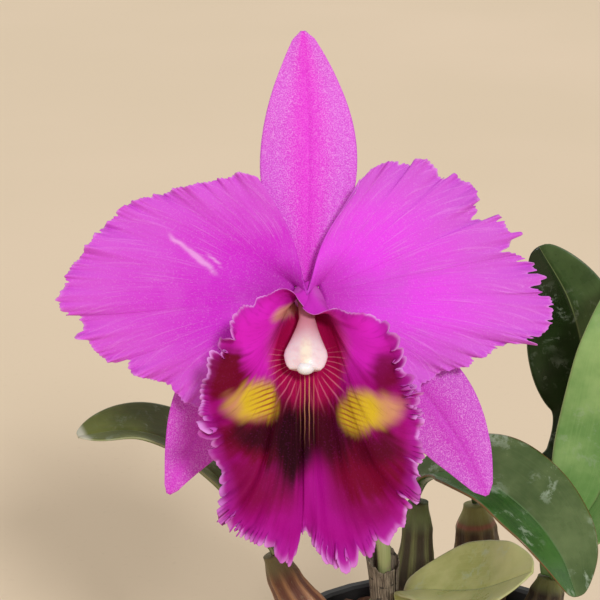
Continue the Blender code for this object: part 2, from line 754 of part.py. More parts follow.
def seat_in_bark(bark):
    """Cuts plain open seats in the bark: a hole for each stub and root, and a trench for each run."""
    hollows = bpy.data.collections.new("bark_hollows")
    tools.children.link(hollows)
    sky = BARK_TOP + 30
    meshes = []
    stub = STUB_RADIUS + SEAT_ROOM
    root_tip = ROOT_RADIUS / 2 + SEAT_ROOM
    root_top = ROOT_RADIUS + SEAT_ROOM
    for foot, *_ in BULBS.values():
        meshes.append(upright(foot, stub, stub, STUB_LOW - SEAT_ROOM, sky, 12))
        meshes.append(upright(foot, root_tip, root_top, ROOT_LOW - SEAT_ROOM, STUB_LOW + 3, 7))
    for a, b in RHIZOME_RUNS:
        meshes.append(trench(Vector(BULBS[a][0]), Vector(BULBS[b][0]), sky))
    for mesh in meshes:
        hollows.objects.link(bpy.data.objects.new("bark_hollow", mesh))
    combine(bark, hollows, "DIFFERENCE")
    keep_largest(bark.data)


def keep_largest(mesh):
    """Drops the loose scraps of bark that the seats cut off."""
    bm = bmesh.new()
    bm.from_mesh(mesh)
    pieces = []
    left = set(bm.verts)
    while left:
        front = [left.pop()]
        piece = set(front)
        while front:
            vert = front.pop()
            near = {edge.other_vert(vert) for edge in vert.link_edges} & left
            left -= near
            piece |= near
            front.extend(near)
        pieces.append(piece)
    pieces.sort(key=len)
    bmesh.ops.delete(bm, geom=[vert for piece in pieces[:-1] for vert in piece], context="VERTS")
    bm.to_mesh(mesh)
    bm.free()


def trench(start, end, sky):
    """An upright box from bulb to bulb, a little wider than the rhizome and open to the sky."""
    low = RHIZOME_HEIGHT - RHIZOME_RADIUS - RHIZOME_SAG - SEAT_ROOM
    run = end - start
    size = Vector((run.length, 2 * (RHIZOME_RADIUS + SEAT_ROOM), sky - low - 1))
    middle = ((start + end) / 2).to_3d() + Vector((0, 0, low + size.z / 2))
    turn = Matrix.Rotation(math.atan2(run.y, run.x), 4, "Z")
    place = Matrix.Translation(middle * MM) @ turn @ Matrix.Diagonal((*size, 1))
    bm = bmesh.new()
    bmesh.ops.create_cube(bm, size=MM, matrix=place)
    mesh = bpy.data.meshes.new("trench")
    bm.to_mesh(mesh)
    bm.free()
    return mesh


def build():
    flower = bpy.data.objects.new("flower_frame", None)
    flower.location = Vector(FLOWER_CENTRE) * MM
    flower.rotation_euler = (-FLOWER_TIP, 0, 0)
    plant.objects.link(flower)
    bpy.context.view_layer.update()
    make_pot()
    for name in BULBS:
        make_bulb(name)
    for name in LEAVES:
        make_leaf(name)
    make_sheath()
    make_stem(flower)
    for name in SEPALS:
        make_sepal(name, flower)
    make_petal("petal_left", LEFT_MARGIN, -1, 0.4, flower)
    make_petal("petal_right", RIGHT_MARGIN, 1, 1.9, flower)
    make_lip(flower)
    make_column(flower)
    join("rhizome", rhizome_pieces(), (0.10, 0.08, 0.035), 0.7)
    seat_in_bark(make_bark())


for old in list(bpy.data.objects):
    bpy.data.objects.remove(old)
plant = bpy.data.collections.new("cattleya_orchid")
tools = bpy.data.collections.new("cutters")
bpy.context.scene.collection.children.link(plant)
bpy.context.scene.collection.children.link(tools)
build()
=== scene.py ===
import math

import bpy
import numpy as np
from mathutils import Matrix, Vector


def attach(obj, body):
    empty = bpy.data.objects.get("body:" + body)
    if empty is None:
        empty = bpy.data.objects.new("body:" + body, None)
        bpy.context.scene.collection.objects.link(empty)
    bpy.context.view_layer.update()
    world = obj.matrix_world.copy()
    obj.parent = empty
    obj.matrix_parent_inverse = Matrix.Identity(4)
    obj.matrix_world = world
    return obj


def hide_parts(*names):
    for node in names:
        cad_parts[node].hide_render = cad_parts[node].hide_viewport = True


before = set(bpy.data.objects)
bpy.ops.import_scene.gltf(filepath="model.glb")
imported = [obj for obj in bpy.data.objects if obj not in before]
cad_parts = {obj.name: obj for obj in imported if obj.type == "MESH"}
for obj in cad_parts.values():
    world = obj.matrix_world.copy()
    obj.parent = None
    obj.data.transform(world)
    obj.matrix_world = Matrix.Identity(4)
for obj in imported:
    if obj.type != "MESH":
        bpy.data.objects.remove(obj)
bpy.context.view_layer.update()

# The dressed orchid: the same surfaces as the CAD solids, on finer grids, with frills, veins and patterns.
# Lengths are in millimetres until a mesh is made. In the flower's frame a point is (across, up, out).
# The colours of materials are red, green and blue from 0 to 255.

MM = 0.001
TAU = math.tau
VIEW_DISTANCE = 700.0
VIEW_SCALE = 0.33
PHOTO_WIDTH = 600
SENSOR_WIDTH = 36.0
VIEW_RISE = math.radians(18)
LOOK_AT = (-52.0, -42.0, 262.0)
FLOWER_CENTRE = (-49.7, -42.0, 263.0)
SUN_FROM = (0.22, -0.8, 0.5)


def linear(colour):
    """A colour as the linear values that shaders take, with full alpha."""
    shares = [value / 255 for value in colour]
    return (*(s / 12.92 if s <= 0.04045 else ((s + 0.055) / 1.055) ** 2.4 for s in shares), 1.0)


# Curves and waves, on whole arrays

class Path:
    """A smooth curve through given points, read by the share of its length."""

    def __init__(self, points):
        points = [tuple(p) for p in points]
        self.points = np.array([p + (0.0,) * (3 - len(p)) for p in points], float)
        steps = np.linalg.norm(np.diff(self.points, axis=0), axis=1)
        self.length = steps.sum()
        self.marks = np.concatenate([[0.0], np.cumsum(steps)]) / self.length
        last = len(points) - 1
        before = np.maximum(np.arange(last + 1) - 1, 0)
        after = np.minimum(np.arange(last + 1) + 1, last)
        spans = self.marks[after] - self.marks[before]
        self.slopes = (self.points[after] - self.points[before]) / spans[:, None]

    def at(self, share):
        share = np.clip(np.asarray(share, float), 0, 1)
        i = np.clip(np.searchsorted(self.marks, share) - 1, 0, len(self.marks) - 2)
        span = (self.marks[i + 1] - self.marks[i])[..., None]
        s = (share - self.marks[i])[..., None] / span
        start = self.points[i] * (2 * s**3 - 3 * s**2 + 1) + self.slopes[i] * span * (s**3 - 2 * s**2 + s)
        end = self.points[i + 1] * (3 * s**2 - 2 * s**3) + self.slopes[i + 1] * span * (s**3 - s**2)
        return start + end

    def heading(self, share):
        share = np.clip(np.asarray(share, float), 0, 1)
        step = np.maximum(np.minimum(0.01, np.minimum(share, 1 - share)), 1e-5)
        way = self.at(share + step) - self.at(share - step)
        way = np.where((share <= 0)[..., None], self.slopes[0], way)
        way = np.where((share >= 1)[..., None], self.slopes[-1], way)
        return unit(way)

    def share_near(self, point):
        shares = np.linspace(0, 1, 1500)
        return shares[np.argmin(np.linalg.norm(self.at(shares)[:, :2] - np.array(point), axis=1))]


def unit(vectors):
    return vectors / np.maximum(np.linalg.norm(vectors, axis=-1, keepdims=True), 1e-9)


def dot(a, b):
    return (a * b).sum(axis=-1, keepdims=True)


def smooth(low, high, value):
    """0 below low, 1 above high, smooth between; low may be above high."""
    s = np.clip((value - low) / (high - low), 0, 1)
    return s * s * (3 - 2 * s)


def blend(stops, share):
    """Runs smoothly from stop to stop; each stop is (share, value)."""
    result = np.full(np.shape(share), float(stops[0][1]))
    for (a, low), (b, high) in zip(stops, stops[1:]):
        result = result + (high - low) * smooth(a, b, share)
    return result


def wave(share, cycles, phase):
    """An uneven wave between about -1 and 1."""
    turns = TAU * cycles * share
    return 0.65 * np.sin(turns + phase) + 0.35 * np.sin(TAU * cycles * 1.62 * share + 2.3 * phase)


def blade_width(share, foot, widest, tip, roundness):
    """Half width of a blade along its length, from 0 to 1."""
    low = foot + (1 - foot) * np.sin(np.pi / 2 * np.clip(share / widest, 0, 1)) ** 1.15
    rest = np.clip((share - widest) / (1 - widest), 0, 1)
    high = tip + (1 - tip) * np.cos(np.pi / 2 * rest) ** roundness
    return np.where(share < widest, low, high)


def uneven(share, cells, seed):
    """Smooth random bumps from -1 to 1, one value to a cell."""
    table = np.random.default_rng(seed).uniform(-1, 1, cells + 2)
    place = np.clip(share, 0, 1) * cells
    i = np.floor(place).astype(int)
    s = place - i
    s = s * s * (3 - 2 * s)
    return table[i] * (1 - s) + table[i + 1] * s


def teeth(share, cells, seed):
    """Pointed teeth of uneven height and width, from 0 to 1."""
    rng = np.random.default_rng(seed)
    sizes = rng.uniform(0.25, 1.0, cells + 3)
    place = np.clip(share, 0, 1) * cells + 0.35 * uneven(share, cells // 2, seed + 1)
    place = np.clip(place, 0, cells)
    i = np.floor(place).astype(int)
    peak = 1 - np.abs(2 * (place - i) - 1)
    return sizes[i] * peak**0.8


def fringe(v, rim, fingers, power=4):
    """Fingers, slits or folds of a margin: each is (point on it, width, reach); power squares its shape."""
    total = np.zeros_like(v)
    for point, width, reach in fingers:
        away = np.abs(v - rim.share_near(point)) * rim.length / (width / 2)
        total += reach * np.exp(-(away**power))
    return total


def grid(u_steps, v_steps, crowd=1.0):
    """u and v over a grid; crowd above 1 packs the rows towards u = 1."""
    u = 1 - (1 - np.linspace(0, 1, u_steps + 1)) ** crowd
    return np.meshgrid(u, np.linspace(0, 1, v_steps + 1), indexing="ij")


def normals(points):
    return unit(np.cross(np.gradient(points, axis=0), np.gradient(points, axis=1)))


def flower_point(across, up, out):
    across, up, out = np.broadcast_arrays(across, up, out)
    return np.stack([across, -out, up], axis=-1)


def flower_line(points):
    return Path([(across, -out, up) for across, up, out in points])


def facing(points):
    """Points as seen from in front, (across, up, out), moved to where they are in the flower's frame."""
    return [(a * (1 - out / VIEW_DISTANCE), b * (1 - out / VIEW_DISTANCE), out) for a, b, out in points]


# Meshes

def add_mesh(name, points, faces, uv=None, masks=None, matrix=None, smooth_faces=True):
    """A mesh of points in millimetres. uv and each mask hold one value for each point."""
    mesh = bpy.data.meshes.new(name)
    flat = np.ascontiguousarray(points.reshape(-1, 3) * MM, dtype=np.float32)
    faces = np.asarray(faces, dtype=np.int32)
    mesh.vertices.add(len(flat))
    mesh.vertices.foreach_set("co", flat.ravel())
    mesh.loops.add(faces.size)
    mesh.loops.foreach_set("vertex_index", faces.ravel())
    mesh.polygons.add(len(faces))
    mesh.polygons.foreach_set("loop_start", np.arange(0, faces.size, faces.shape[1], dtype=np.int32))
    mesh.update(calc_edges=True)
    if uv is not None:
        layer = mesh.uv_layers.new(name="UVMap")
        layer.data.foreach_set("uv", np.asarray(uv, dtype=np.float32).reshape(-1, 2)[faces.ravel()].ravel())
    for key, values in (masks or {}).items():
        layer = mesh.attributes.new(key, "FLOAT", "POINT")
        layer.data.foreach_set("value", np.asarray(values, np.float32).ravel())
    if smooth_faces:
        mesh.shade_smooth()
    mesh.validate()
    obj = bpy.data.objects.new(name, mesh)
    bpy.context.scene.collection.objects.link(obj)
    if matrix is not None:
        obj.matrix_world = matrix
    bpy.context.view_layer.update()
    return obj


def dress(obj, mat, *nodes, slot=None):
    """Gives a piece its material and its body, and hides the CAD nodes that it stands for."""
    obj.data.materials.append(mat)
    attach(obj, "root")
    if nodes:
        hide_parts(*nodes)
    return obj


def ring_faces(rows, columns, closed):
    """Quads of a grid of points; closed joins the last column to the first."""
    index = np.arange(rows * columns).reshape(rows, columns)
    if closed:
        index = np.concatenate([index, index[:, :1]], axis=1)
    quads = np.stack([index[:-1, :-1], index[:-1, 1:], index[1:, 1:], index[1:, :-1]], axis=-1)
    return quads.reshape(-1, 4)


def outward(points, faces):
    """The same faces, turned so that they face out of the closed body that they bound."""
    a, b, c = (points[faces[:, k]] for k in range(3))
    return faces[:, ::-1] if (np.cross(a, b) * c).sum() < 0 else faces


def add_blade(name, points, thickness, u, v, masks=None, matrix=None):
    """A closed blade round a grid of points, as thick as the grid of thicknesses says."""
    rows, columns = points.shape[:2]
    half = normals(points) * (thickness / 2)[..., None]
    both = np.concatenate([(points + half).reshape(-1, 3), (points - half).reshape(-1, 3)])
    top = ring_faces(rows, columns, False)
    index = np.arange(rows * columns).reshape(rows, columns)
    border = np.concatenate([index[0, :-1], index[:-1, -1], index[-1, :0:-1], index[:0:-1, 0]])
    following = np.roll(border, -1)
    under = rows * columns
    side = np.stack([border, following, following + under, border + under], axis=-1)
    faces = outward(both, np.concatenate([top[:, ::-1], top + under, side]))
    uv = np.stack([v, u], axis=-1).reshape(-1, 2)
    twice = {key: np.concatenate([np.ravel(value)] * 2) for key, value in (masks or {}).items()}
    twice["face"] = np.concatenate([np.ones(under), np.zeros(under)])
    return add_mesh(name, both, faces, np.concatenate([uv] * 2), twice, matrix)


def add_tube(name, rings, masks=None, matrix=None):
    """A closed body through rings of points, its ends capped by pulling them to their middles."""
    rows, columns = rings.shape[0] + 2, rings.shape[1]
    first, last = (np.broadcast_to(ring.mean(axis=0), (1, columns, 3)) for ring in (rings[0], rings[-1]))
    points = np.concatenate([first, rings, last])
    uv = np.stack(np.meshgrid(np.linspace(0, 1, columns), np.linspace(0, 1, rows)), axis=-1)
    padded = {}
    for key, values in (masks or {}).items():
        padded[key] = np.concatenate([values[:1], values, values[-1:]])
    faces = outward(points.reshape(-1, 3), ring_faces(rows, columns, True))
    obj = add_mesh(name, points, faces, uv, padded, matrix)
    weld = obj.modifiers.new("weld", "WELD")
    weld.merge_threshold = 1e-7
    return obj


# Materials

class Look:
    """A material and short ways to add nodes to it."""

    def __init__(self, name, roughness=0.5, **inputs):
        self.mat = bpy.data.materials.new(name)
        self.mat.use_nodes = True
        self.shader = self.mat.node_tree.nodes["Principled BSDF"]
        self.set(self.shader, Roughness=roughness, **inputs)
        place = self.add("TexCoord")
        self.object_place = place.outputs["Object"]
        self.uv = place.outputs["UV"]
        self.colour = None

    def feed(self, socket, value):
        """Links a value that comes from a node, or sets a plain one."""
        if isinstance(value, bpy.types.NodeSocket):
            self.mat.node_tree.links.new(value, socket)
        else:
            socket.default_value = value

    def set(self, node, **inputs):
        for key, value in inputs.items():
            self.feed(node.inputs[key.replace("_", " ")], value)

    def add(self, kind, **inputs):
        node = self.mat.node_tree.nodes.new("ShaderNode" + kind)
        self.set(node, **inputs)
        return node

    def scaled(self, place, x, y, z=1.0):
        return self.add("Mapping", Vector=place, Scale=(x, y, z)).outputs["Vector"]

    def bent(self, place, bend):
        """UV lines that curve: across is shifted by the place along."""
        across, along = self.part(place, 0), self.part(place, 1)
        arc = self.times(self.times(along, self.calc("SUBTRACT", 1.0, along)), bend)
        return self.add("CombineXYZ", X=self.plus(across, arc), Y=along).outputs[0]

    def noise(self, place, scale, detail=3.0, roughness=0.55, distortion=0.0):
        node = self.add("TexNoise", Vector=place, Scale=scale, Detail=detail, Roughness=roughness)
        node.inputs["Distortion"].default_value = distortion
        return node.outputs["Fac"]

    def cloud(self, *settings):
        """Noise in the piece's own space."""
        return self.noise(self.object_place, *settings)

    def fibres(self, across, along, *settings):
        """Noise drawn out along the piece: how often it changes across and along."""
        return self.noise(self.scaled(self.uv, across, along), *settings)

    def ramp(self, value, low, high, floor=0.0, top=1.0):
        node = self.add("MapRange", Value=value)
        node.interpolation_type = "SMOOTHSTEP"
        for socket, number in zip(node.inputs[1:5], (low, high, floor, top)):
            socket.default_value = number
        return node.outputs["Result"]

    def mask(self, name):
        node = self.add("Attribute")
        node.attribute_name = name
        return node.outputs["Fac"]

    def part(self, place, axis):
        return self.add("SeparateXYZ", Vector=place).outputs[axis]

    def calc(self, operation, a, b=0.0):
        node = self.add("Math")
        node.operation = operation
        self.feed(node.inputs[0], a)
        self.feed(node.inputs[1], b)
        return node.outputs[0]

    def times(self, a, b):
        return self.calc("MULTIPLY", a, b)

    def plus(self, a, b):
        return self.calc("ADD", a, b)

    def mix(self, share, a, b):
        """Colour a where share is 0 and colour b where it is 1."""
        node = self.add("Mix")
        node.data_type = "RGBA"
        self.feed(node.inputs[0], share)
        for socket, colour in zip(node.inputs[6:8], (a, b)):
            self.feed(socket, linear(colour) if isinstance(colour, tuple) else colour)
        return node.outputs[2]

    def cover(self, share, colour):
        """Covers the colour so far with another, as far as share says."""
        self.colour = self.mix(share, self.colour, colour)

    def lay(self, colour, value, low, high, floor=0.0, top=1.0):
        """Covers the colour so far, from floor where value is low to top where it is high."""
        self.cover(self.ramp(value, low, high, floor, top), colour)

    def from_middle(self):
        """How far a point lies from the lengthwise middle of a blade, 0.5 at its margins."""
        return self.calc("ABSOLUTE", self.calc("SUBTRACT", self.part(self.uv, 0), 0.5))

    def finish(self, height, strength, distance, roughness=None):
        """Gives the shader the colour, the bump of a height and, if it varies, the roughness."""
        bump = self.add("Bump", Height=height, Strength=strength, Distance=distance)
        self.set(self.shader, Base_Color=self.colour, Normal=bump.outputs["Normal"])
        if roughness:
            self.set(self.shader, Roughness=roughness)
        return self.mat


def petal_look(name, middle, outer, throat, pale):
    """Crystalline petal tissue with veins that fan out, paler towards its margin, with painted glints on its
    cells.
    """
    look = Look(name, 0.6, Specular_IOR_Level=0.22)
    u = look.part(look.uv, 1)
    look.colour = middle
    look.lay(outer, u, 0.35, 0.95)
    # Darker towards the foot, where the petal meets the lip: painted shade.
    look.lay(throat, u, 0.3, 0.02)
    patches = look.cloud(55.0, 4.0)
    look.lay(outer, patches, 0.42, 0.7, 0.0, 0.5)
    veins = look.noise(look.scaled(look.bent(look.uv, 0.16), 80.0, 1.8), 1.6, 4.0, 0.6, 0.3)
    veins = look.ramp(veins, 0.5, 0.7)
    look.cover(look.times(veins, look.ramp(u, 0.1, 0.6, 0.1, 0.34)), pale)
    grain = look.cloud(2200.0, 1.0)
    # Bright specks from fine noise: painted glints of the crystalline cells.
    painted_glints = look.times(look.ramp(grain, 0.5, 0.8), 0.2)
    look.cover(painted_glints, (246, 168, 246))
    look.cover(look.times(look.mask("crease"), 0.75), (240, 170, 238))
    look.cover(look.times(look.mask("rim"), 0.65), (236, 176, 240))
    height = look.plus(look.times(veins, 0.6), look.times(grain, 0.5))
    return look.finish(height, 0.35, 0.0005)


def sepal_look(name, stripe, outer, painted_glint_strength):
    """Smooth crystalline tissue with a deeper stripe along the middle and painted glints on its cells."""
    look = Look(name, 0.55, Specular_IOR_Level=0.25)
    across = look.from_middle()
    wander = look.fibres(1.0, 3.0, 4.0, 2.0)
    edge = look.plus(across, look.times(wander, 0.12))
    look.colour = stripe
    look.lay(outer, edge, 0.10, 0.42)
    lines = look.ramp(look.fibres(26.0, 0.7, 2.0, 4.0), 0.5, 0.75)
    look.cover(look.times(lines, 0.22), (196, 40, 190))
    # Bright specks from fine noise, stronger away from the stripe: painted glints of the crystalline cells.
    grain = look.cloud(2400.0, 1.5)
    painted_glint_amount = look.ramp(edge, 0.08, 0.3, painted_glint_strength * 0.4, painted_glint_strength)
    look.cover(look.times(look.ramp(grain, 0.42, 0.74), painted_glint_amount), (250, 178, 250))
    look.cover(look.times(look.ramp(grain, 0.48, 0.32), 0.25), (190, 30, 180))
    return look.finish(grain, 0.4, 0.0005)


# The lip's colours in the order in which they are laid, each where its mask is
LIP_LAYERS = [
    ("blush", (216, 34, 194)),
    ("crimson", (118, 1, 44)),
    ("blotch", (108, 0, 36)),
    ("tube_edge", (208, 70, 160)),
    # The tube's crimson is partly the lip's own colour and partly painted shade inside the tube.
    ("tube", (172, 10, 80)),
    ("dark", (40, 1, 12)),
    ("keel", (166, 8, 134)),
    ("fringe", (186, 40, 172)),
    ("cream", (222, 160, 128)),
    ("pale_eye", (226, 172, 96)),
    ("yellow", (216, 180, 40)),
]


def lip_look():
    """Velvety lip: crimson with magenta lobes, yellow eyes, pale veins and a pale frilled rim."""
    look = Look("lip", 0.65, Specular_IOR_Level=0.07)
    patches = look.cloud(120.0, 4.0)
    look.colour = (158, 3, 112)
    look.lay((172, 12, 136), patches, 0.35, 0.7)
    for name, shade in LIP_LAYERS:
        look.cover(look.mask(name), shade)
    fine = look.fibres(200.0, 5.0, 1.0, 3.0)
    look.lay((90, 0, 44), fine, 0.5, 0.8, 0.0, 0.28)
    thin, gaps, straight = throat_lines(look)
    look.cover(look.times(look.mask("veins"), thin), (232, 136, 158))
    look.cover(look.times(look.mask("gold"), straight), (236, 168, 120))
    look.cover(look.times(look.mask("eye_streaks"), gaps), (140, 12, 44))
    grain = look.cloud(1600.0, 1.0)
    # A faint lighter speckle from fine noise: painted glints of the crystalline cells.
    look.lay((200, 50, 170), grain, 0.55, 0.8, 0.0, 0.08)
    look.cover(look.mask("rim"), (228, 150, 232))
    back = look.mix(look.ramp(patches, 0.3, 0.7), (190, 60, 178), (206, 90, 196))
    # Near the seam the lip's back is painted lighter, in the petals' colour: painted light against the shade it
    # lies in.
    back = look.mix(look.mask("roof"), back, (214, 56, 204))
    look.colour = look.mix(look.mask("face"), back, look.colour)
    height = look.plus(look.times(fine, 0.7), look.times(grain, 0.4))
    return look.finish(height, 0.35, 0.0005)


def throat_lines(look):
    """Fine lines: a fan below the column's tip, level streaks at the eyes, and a bundle straight down."""
    from_tip = look.add("VectorMath", Vector=look.object_place)
    from_tip.operation = "SUBTRACT"
    from_tip.inputs[1].default_value = (-0.0004, 0.0, -0.0192)
    across = look.part(from_tip.outputs["Vector"], 0)
    down = look.times(look.part(from_tip.outputs["Vector"], 2), -1.0)
    sway = look.times(look.cloud(130.0, 2.0), 3.0)
    fan = look.plus(look.times(look.calc("ARCTAN2", across, down), 36.0), sway)
    rise = look.times(look.calc("ABSOLUTE", across), -0.35)
    level = look.plus(look.times(look.plus(down, rise), 3900.0), sway)
    bundle = look.plus(look.times(across, 4400.0), sway)
    thin = look.ramp(look.calc("COSINE", fan), 0.62, 1.1)
    gaps = look.ramp(look.calc("COSINE", level), 0.0, 0.9)
    straight = look.ramp(look.calc("COSINE", bundle), 0.55, 1.0)
    return thin, gaps, straight


# Pale colour of the midrib line: a painted highlight along the midrib.
MIDRIB_HIGHLIGHT = (123.55, 139.45, 89.04)


def leaf_look(name, dark, light, rough, stain, edge, midrib=MIDRIB_HIGHLIGHT, other=None, marks_scale=210.0):
    """Thick leaf: fine lengthwise veins, cloudy colour, a pale midrib line that is a painted highlight, and dried
    water marks.

    other gives the half on the right of the midrib its own dark and light colour.
    """
    look = Look(name, rough, Coat_Weight=0.08, Coat_Roughness=0.2, Specular_IOR_Level=0.35)
    clouds = look.cloud(38.0, 4.0, 0.6)
    shade = look.ramp(clouds, 0.35, 0.68)
    look.colour = look.mix(shade, dark, light)
    if other:
        look.cover(look.mask("half"), look.mix(shade, *other))
    lines = look.fibres(46.0, 1.2, 1.0, 4.0, 0.6)
    look.lay(light, lines, 0.45, 0.75, 0.0, 0.3)
    across = look.from_middle()
    # A pale line along the midrib: painted highlight.
    look.lay(midrib, across, 0.022, 0.004, 0.0, 0.75)
    look.lay(edge, across, 0.487, 0.498)
    blots = look.cloud(marks_scale, 5.0, 0.7, 0.4)
    wide = look.cloud(45.0, 2.0)
    marks = look.times(look.ramp(blots, 0.52, 0.64), look.ramp(wide, 0.45, 0.62))
    look.cover(look.times(marks, stain), (168, 184, 162))
    look.cover(look.mask("pale"), (196, 196, 176))
    grain = look.cloud(900.0, 2.0)
    gloss = look.plus(look.times(marks, 0.25 * stain), rough)
    gloss = look.plus(gloss, look.ramp(clouds, 0.4, 0.7, -0.04, 0.08))
    height = look.plus(look.times(lines, 0.6), look.times(grain, 0.25))
    return look.finish(height, 0.25, 0.0006, gloss)


def bulb_look(name, groove, ridge, neck, dry):
    """Ridged bulb: grooves painted darker as shade between the ridges, dry skin in shreds, a fresher neck."""
    look = Look(name, 0.5)
    along = look.part(look.uv, 1)
    streaks = look.fibres(24.0, 1.5, 2.0, 5.0, 0.65)
    # Groove colour between the ridges, ridge colour on them: painted shade in the grooves.
    look.colour = look.mix(look.mask("ridge"), groove, ridge)
    look.lay(groove, streaks, 0.42, 0.66, 0.0, 0.6)
    shreds = look.fibres(10.0, 5.0, 1.4, 4.0, 0.7, 0.6)
    look.lay(dry, shreds, 0.56, 0.66, 0.0, 0.7)
    look.lay(neck, along, 0.78, 0.93)
    look.cover(look.mask("collar"), (158, 92, 74))
    height = look.plus(streaks, look.times(shreds, 0.6))
    return look.finish(height, 0.6, 0.0009, look.ramp(shreds, 0.4, 0.7, 0.38, 0.72))


def bark_look(name, tone):
    """Bark: layered light and dark bands with cracks and dust."""
    look = Look(name, 0.85)
    bands = look.noise(look.scaled(look.object_place, 1.0, 1.0, 5.0), 130.0, 5.0, 0.7, 0.5)
    look.colour = (46, 27, 17)
    look.lay(tone, bands, 0.36, 0.66)
    flakes = look.add("TexVoronoi", Vector=look.object_place, Scale=260.0).outputs["Distance"]
    look.lay((150, 104, 70), flakes, 0.32, 0.08, 0.0, 0.5)
    dust = look.cloud(620.0, 3.0, 0.7)
    look.lay((122, 98, 76), dust, 0.56, 0.72, 0.0, 0.5)
    height = look.plus(bands, look.times(flakes, 0.7))
    return look.finish(height, 0.8, 0.0016)


def stem_look(low, high, fleck):
    """Fresh stem: faint lengthwise lines and blushed flecks, pink where it meets the flower."""
    look = Look("flower_stem", 0.42, Coat_Weight=0.1, Coat_Roughness=0.3)
    along = look.part(look.uv, 1)
    lines = look.fibres(16.0, 1.0, 2.0, 4.0)
    clouds = look.cloud(160.0, 4.0)
    look.colour = low
    look.lay(high, along, 0.05, 0.9)
    look.lay((96, 104, 52), lines, 0.45, 0.7, 0.0, 0.45)
    look.lay(fleck, clouds, 0.56, 0.7, 0.0, 0.5)
    look.lay((190, 60, 170), along, 0.895, 0.925)
    return look.finish(lines, 0.3, 0.0005)


def papery_look():
    """Dry papery sheath: grey-brown fibres with dark flecks."""
    look = Look("sheath", 0.75)
    fibres = look.fibres(40.0, 1.4, 1.5, 5.0, 0.65)
    look.colour = (66, 54, 42)
    look.lay((150, 136, 116), fibres, 0.35, 0.68)
    spots = look.cloud(420.0, 3.0, 0.6)
    look.lay((30, 24, 20), spots, 0.56, 0.64, 0.0, 0.85)
    return look.finish(fibres, 0.7, 0.0008)


def waxy_look(name, base, tip, stripe):
    """Waxy column tissue, pink at its foot and cream along the middle of its tip; the cream stripe is partly its
    own colour and partly a painted highlight.
    """
    look = Look(name, 0.38, Subsurface_Weight=0.15, Subsurface_Scale=0.002, Coat_Weight=0.1)
    look.set(look.shader, Subsurface_Radius=(0.9, 0.5, 0.4))
    look.colour = look.mix(look.mask("tip"), base, tip)
    look.cover(look.mask("stripe"), stripe)
    clouds = look.cloud(260.0, 3.0)
    look.lay(base, clouds, 0.45, 0.7, 0.0, 0.3)
    grain = look.cloud(1400.0, 2.0)
    return look.finish(grain, 0.12, 0.0004)


def pot_look():
    """Black moulded plastic, scuffed and a little dusty."""
    look = Look("pot", 0.4)
    scuffs = look.noise(look.scaled(look.object_place, 1.0, 1.0, 0.35), 90.0, 5.0, 0.7)
    dust = look.cloud(22.0, 4.0, 0.6)
    look.colour = (27, 28, 30)
    look.lay((58, 57, 55), dust, 0.4, 0.75, 0.0, 0.6)
    look.lay((92, 90, 86), scuffs, 0.6, 0.72, 0.0, 0.4)
    grain = look.cloud(1200.0, 2.0)
    rough = look.plus(look.ramp(scuffs, 0.4, 0.7, 0.32, 0.5), look.ramp(dust, 0.4, 0.7, 0.0, 0.14))
    return look.finish(grain, 0.12, 0.0004, rough)


def floor_look():
    """Plain pale surface with a faint speckle."""
    look = Look("floor", 0.9)
    speckle = look.cloud(240.0, 3.0)
    clouds = look.cloud(1.6, 3.0)
    look.colour = (241, 220, 191)
    look.lay((246, 224, 196), clouds, 0.3, 0.7)
    look.lay((206, 184, 154), speckle, 0.6, 0.75, 0.0, 0.12)
    return look.finish(speckle, 0.05, 0.0005)


# The flower

FLOWER = Matrix.Translation(Vector(FLOWER_CENTRE) * MM) @ Matrix.Rotation(-VIEW_RISE, 4, "X")

# Points (across, up, out), width, share of the length where it is widest, and how pointed the tip is
SEPALS = {
    "dorsal_sepal": (
        [(0, 4.9, -8), (0.2, 28, -9), (0.6, 52, -10.5), (-0.2, 72, -11), (-1.3, 89, -9.5)],
        32.6, 0.48, 0.9,
    ),
    "lateral_sepal_left": (
        [(-4.25, -2.45, -8), (-21, -20, -10), (-32.5, -38, -12), (-40.5, -53, -13), (-46.5, -66, -12)],
        28.0, 0.5, 1.15,
    ),
    "lateral_sepal_right": (
        [(4.25, -2.45, -8), (25, -19, -10), (41.5, -35, -12), (52.5, -51, -13), (60.5, -66.5, -12)],
        30.0, 0.5, 0.9,
    ),
}


def make_sepal(name, mat):
    points, width, widest, taper = SEPALS[name]
    line = flower_line(points)
    u, v = grid(90, 44)
    along = line.heading(u)
    side = unit(np.cross(along, (0, -1, 0)))
    upper = np.cross(side, along)
    across = 2 * v - 1
    round_tip = np.sqrt(np.clip((1.004 - u) / 0.035, 0, 1))
    half = width / 2 * blade_width(u, 0.36, widest, 0.12, taper) * round_tip
    cup = -1.6 * np.sin(np.pi * np.minimum(u * 1.1, 1)) * across**2
    ripple = 0.7 * wave(u, 1.8, 1.2 + across) * np.abs(across) * u
    keel = -0.5 * np.exp(-((across / 0.06) ** 2)) * np.sin(np.pi * u)
    tiny = 0.12 * uneven(u, 40, 3) * np.abs(across) ** 6
    place = line.at(u) + side * (half * across)[..., None] + upper * (cup + ripple + keel + tiny)[..., None]
    thickness = 0.35 + 0.45 * (1 - np.abs(across) ** 4) * (1 - u**8)
    dress(add_blade(name + "_dressed", place, thickness, u, v, matrix=FLOWER), mat, name)


# A petal's foot: how far it lies out and from the middle, half its width, and its turn from upright
CLAW_OUT = -3.0
CLAW_AWAY = 4.65
CLAW_HALF = 4.3
CLAW_TURN = math.radians(75)
# A petal rises from its foot, its inner margin bows to the middle, and it laps over the lip's foot
PETAL_RISE = 5.0
PETAL_BOW = 4.5
PETAL_LAP = (3.5, 4.6, 9.5)

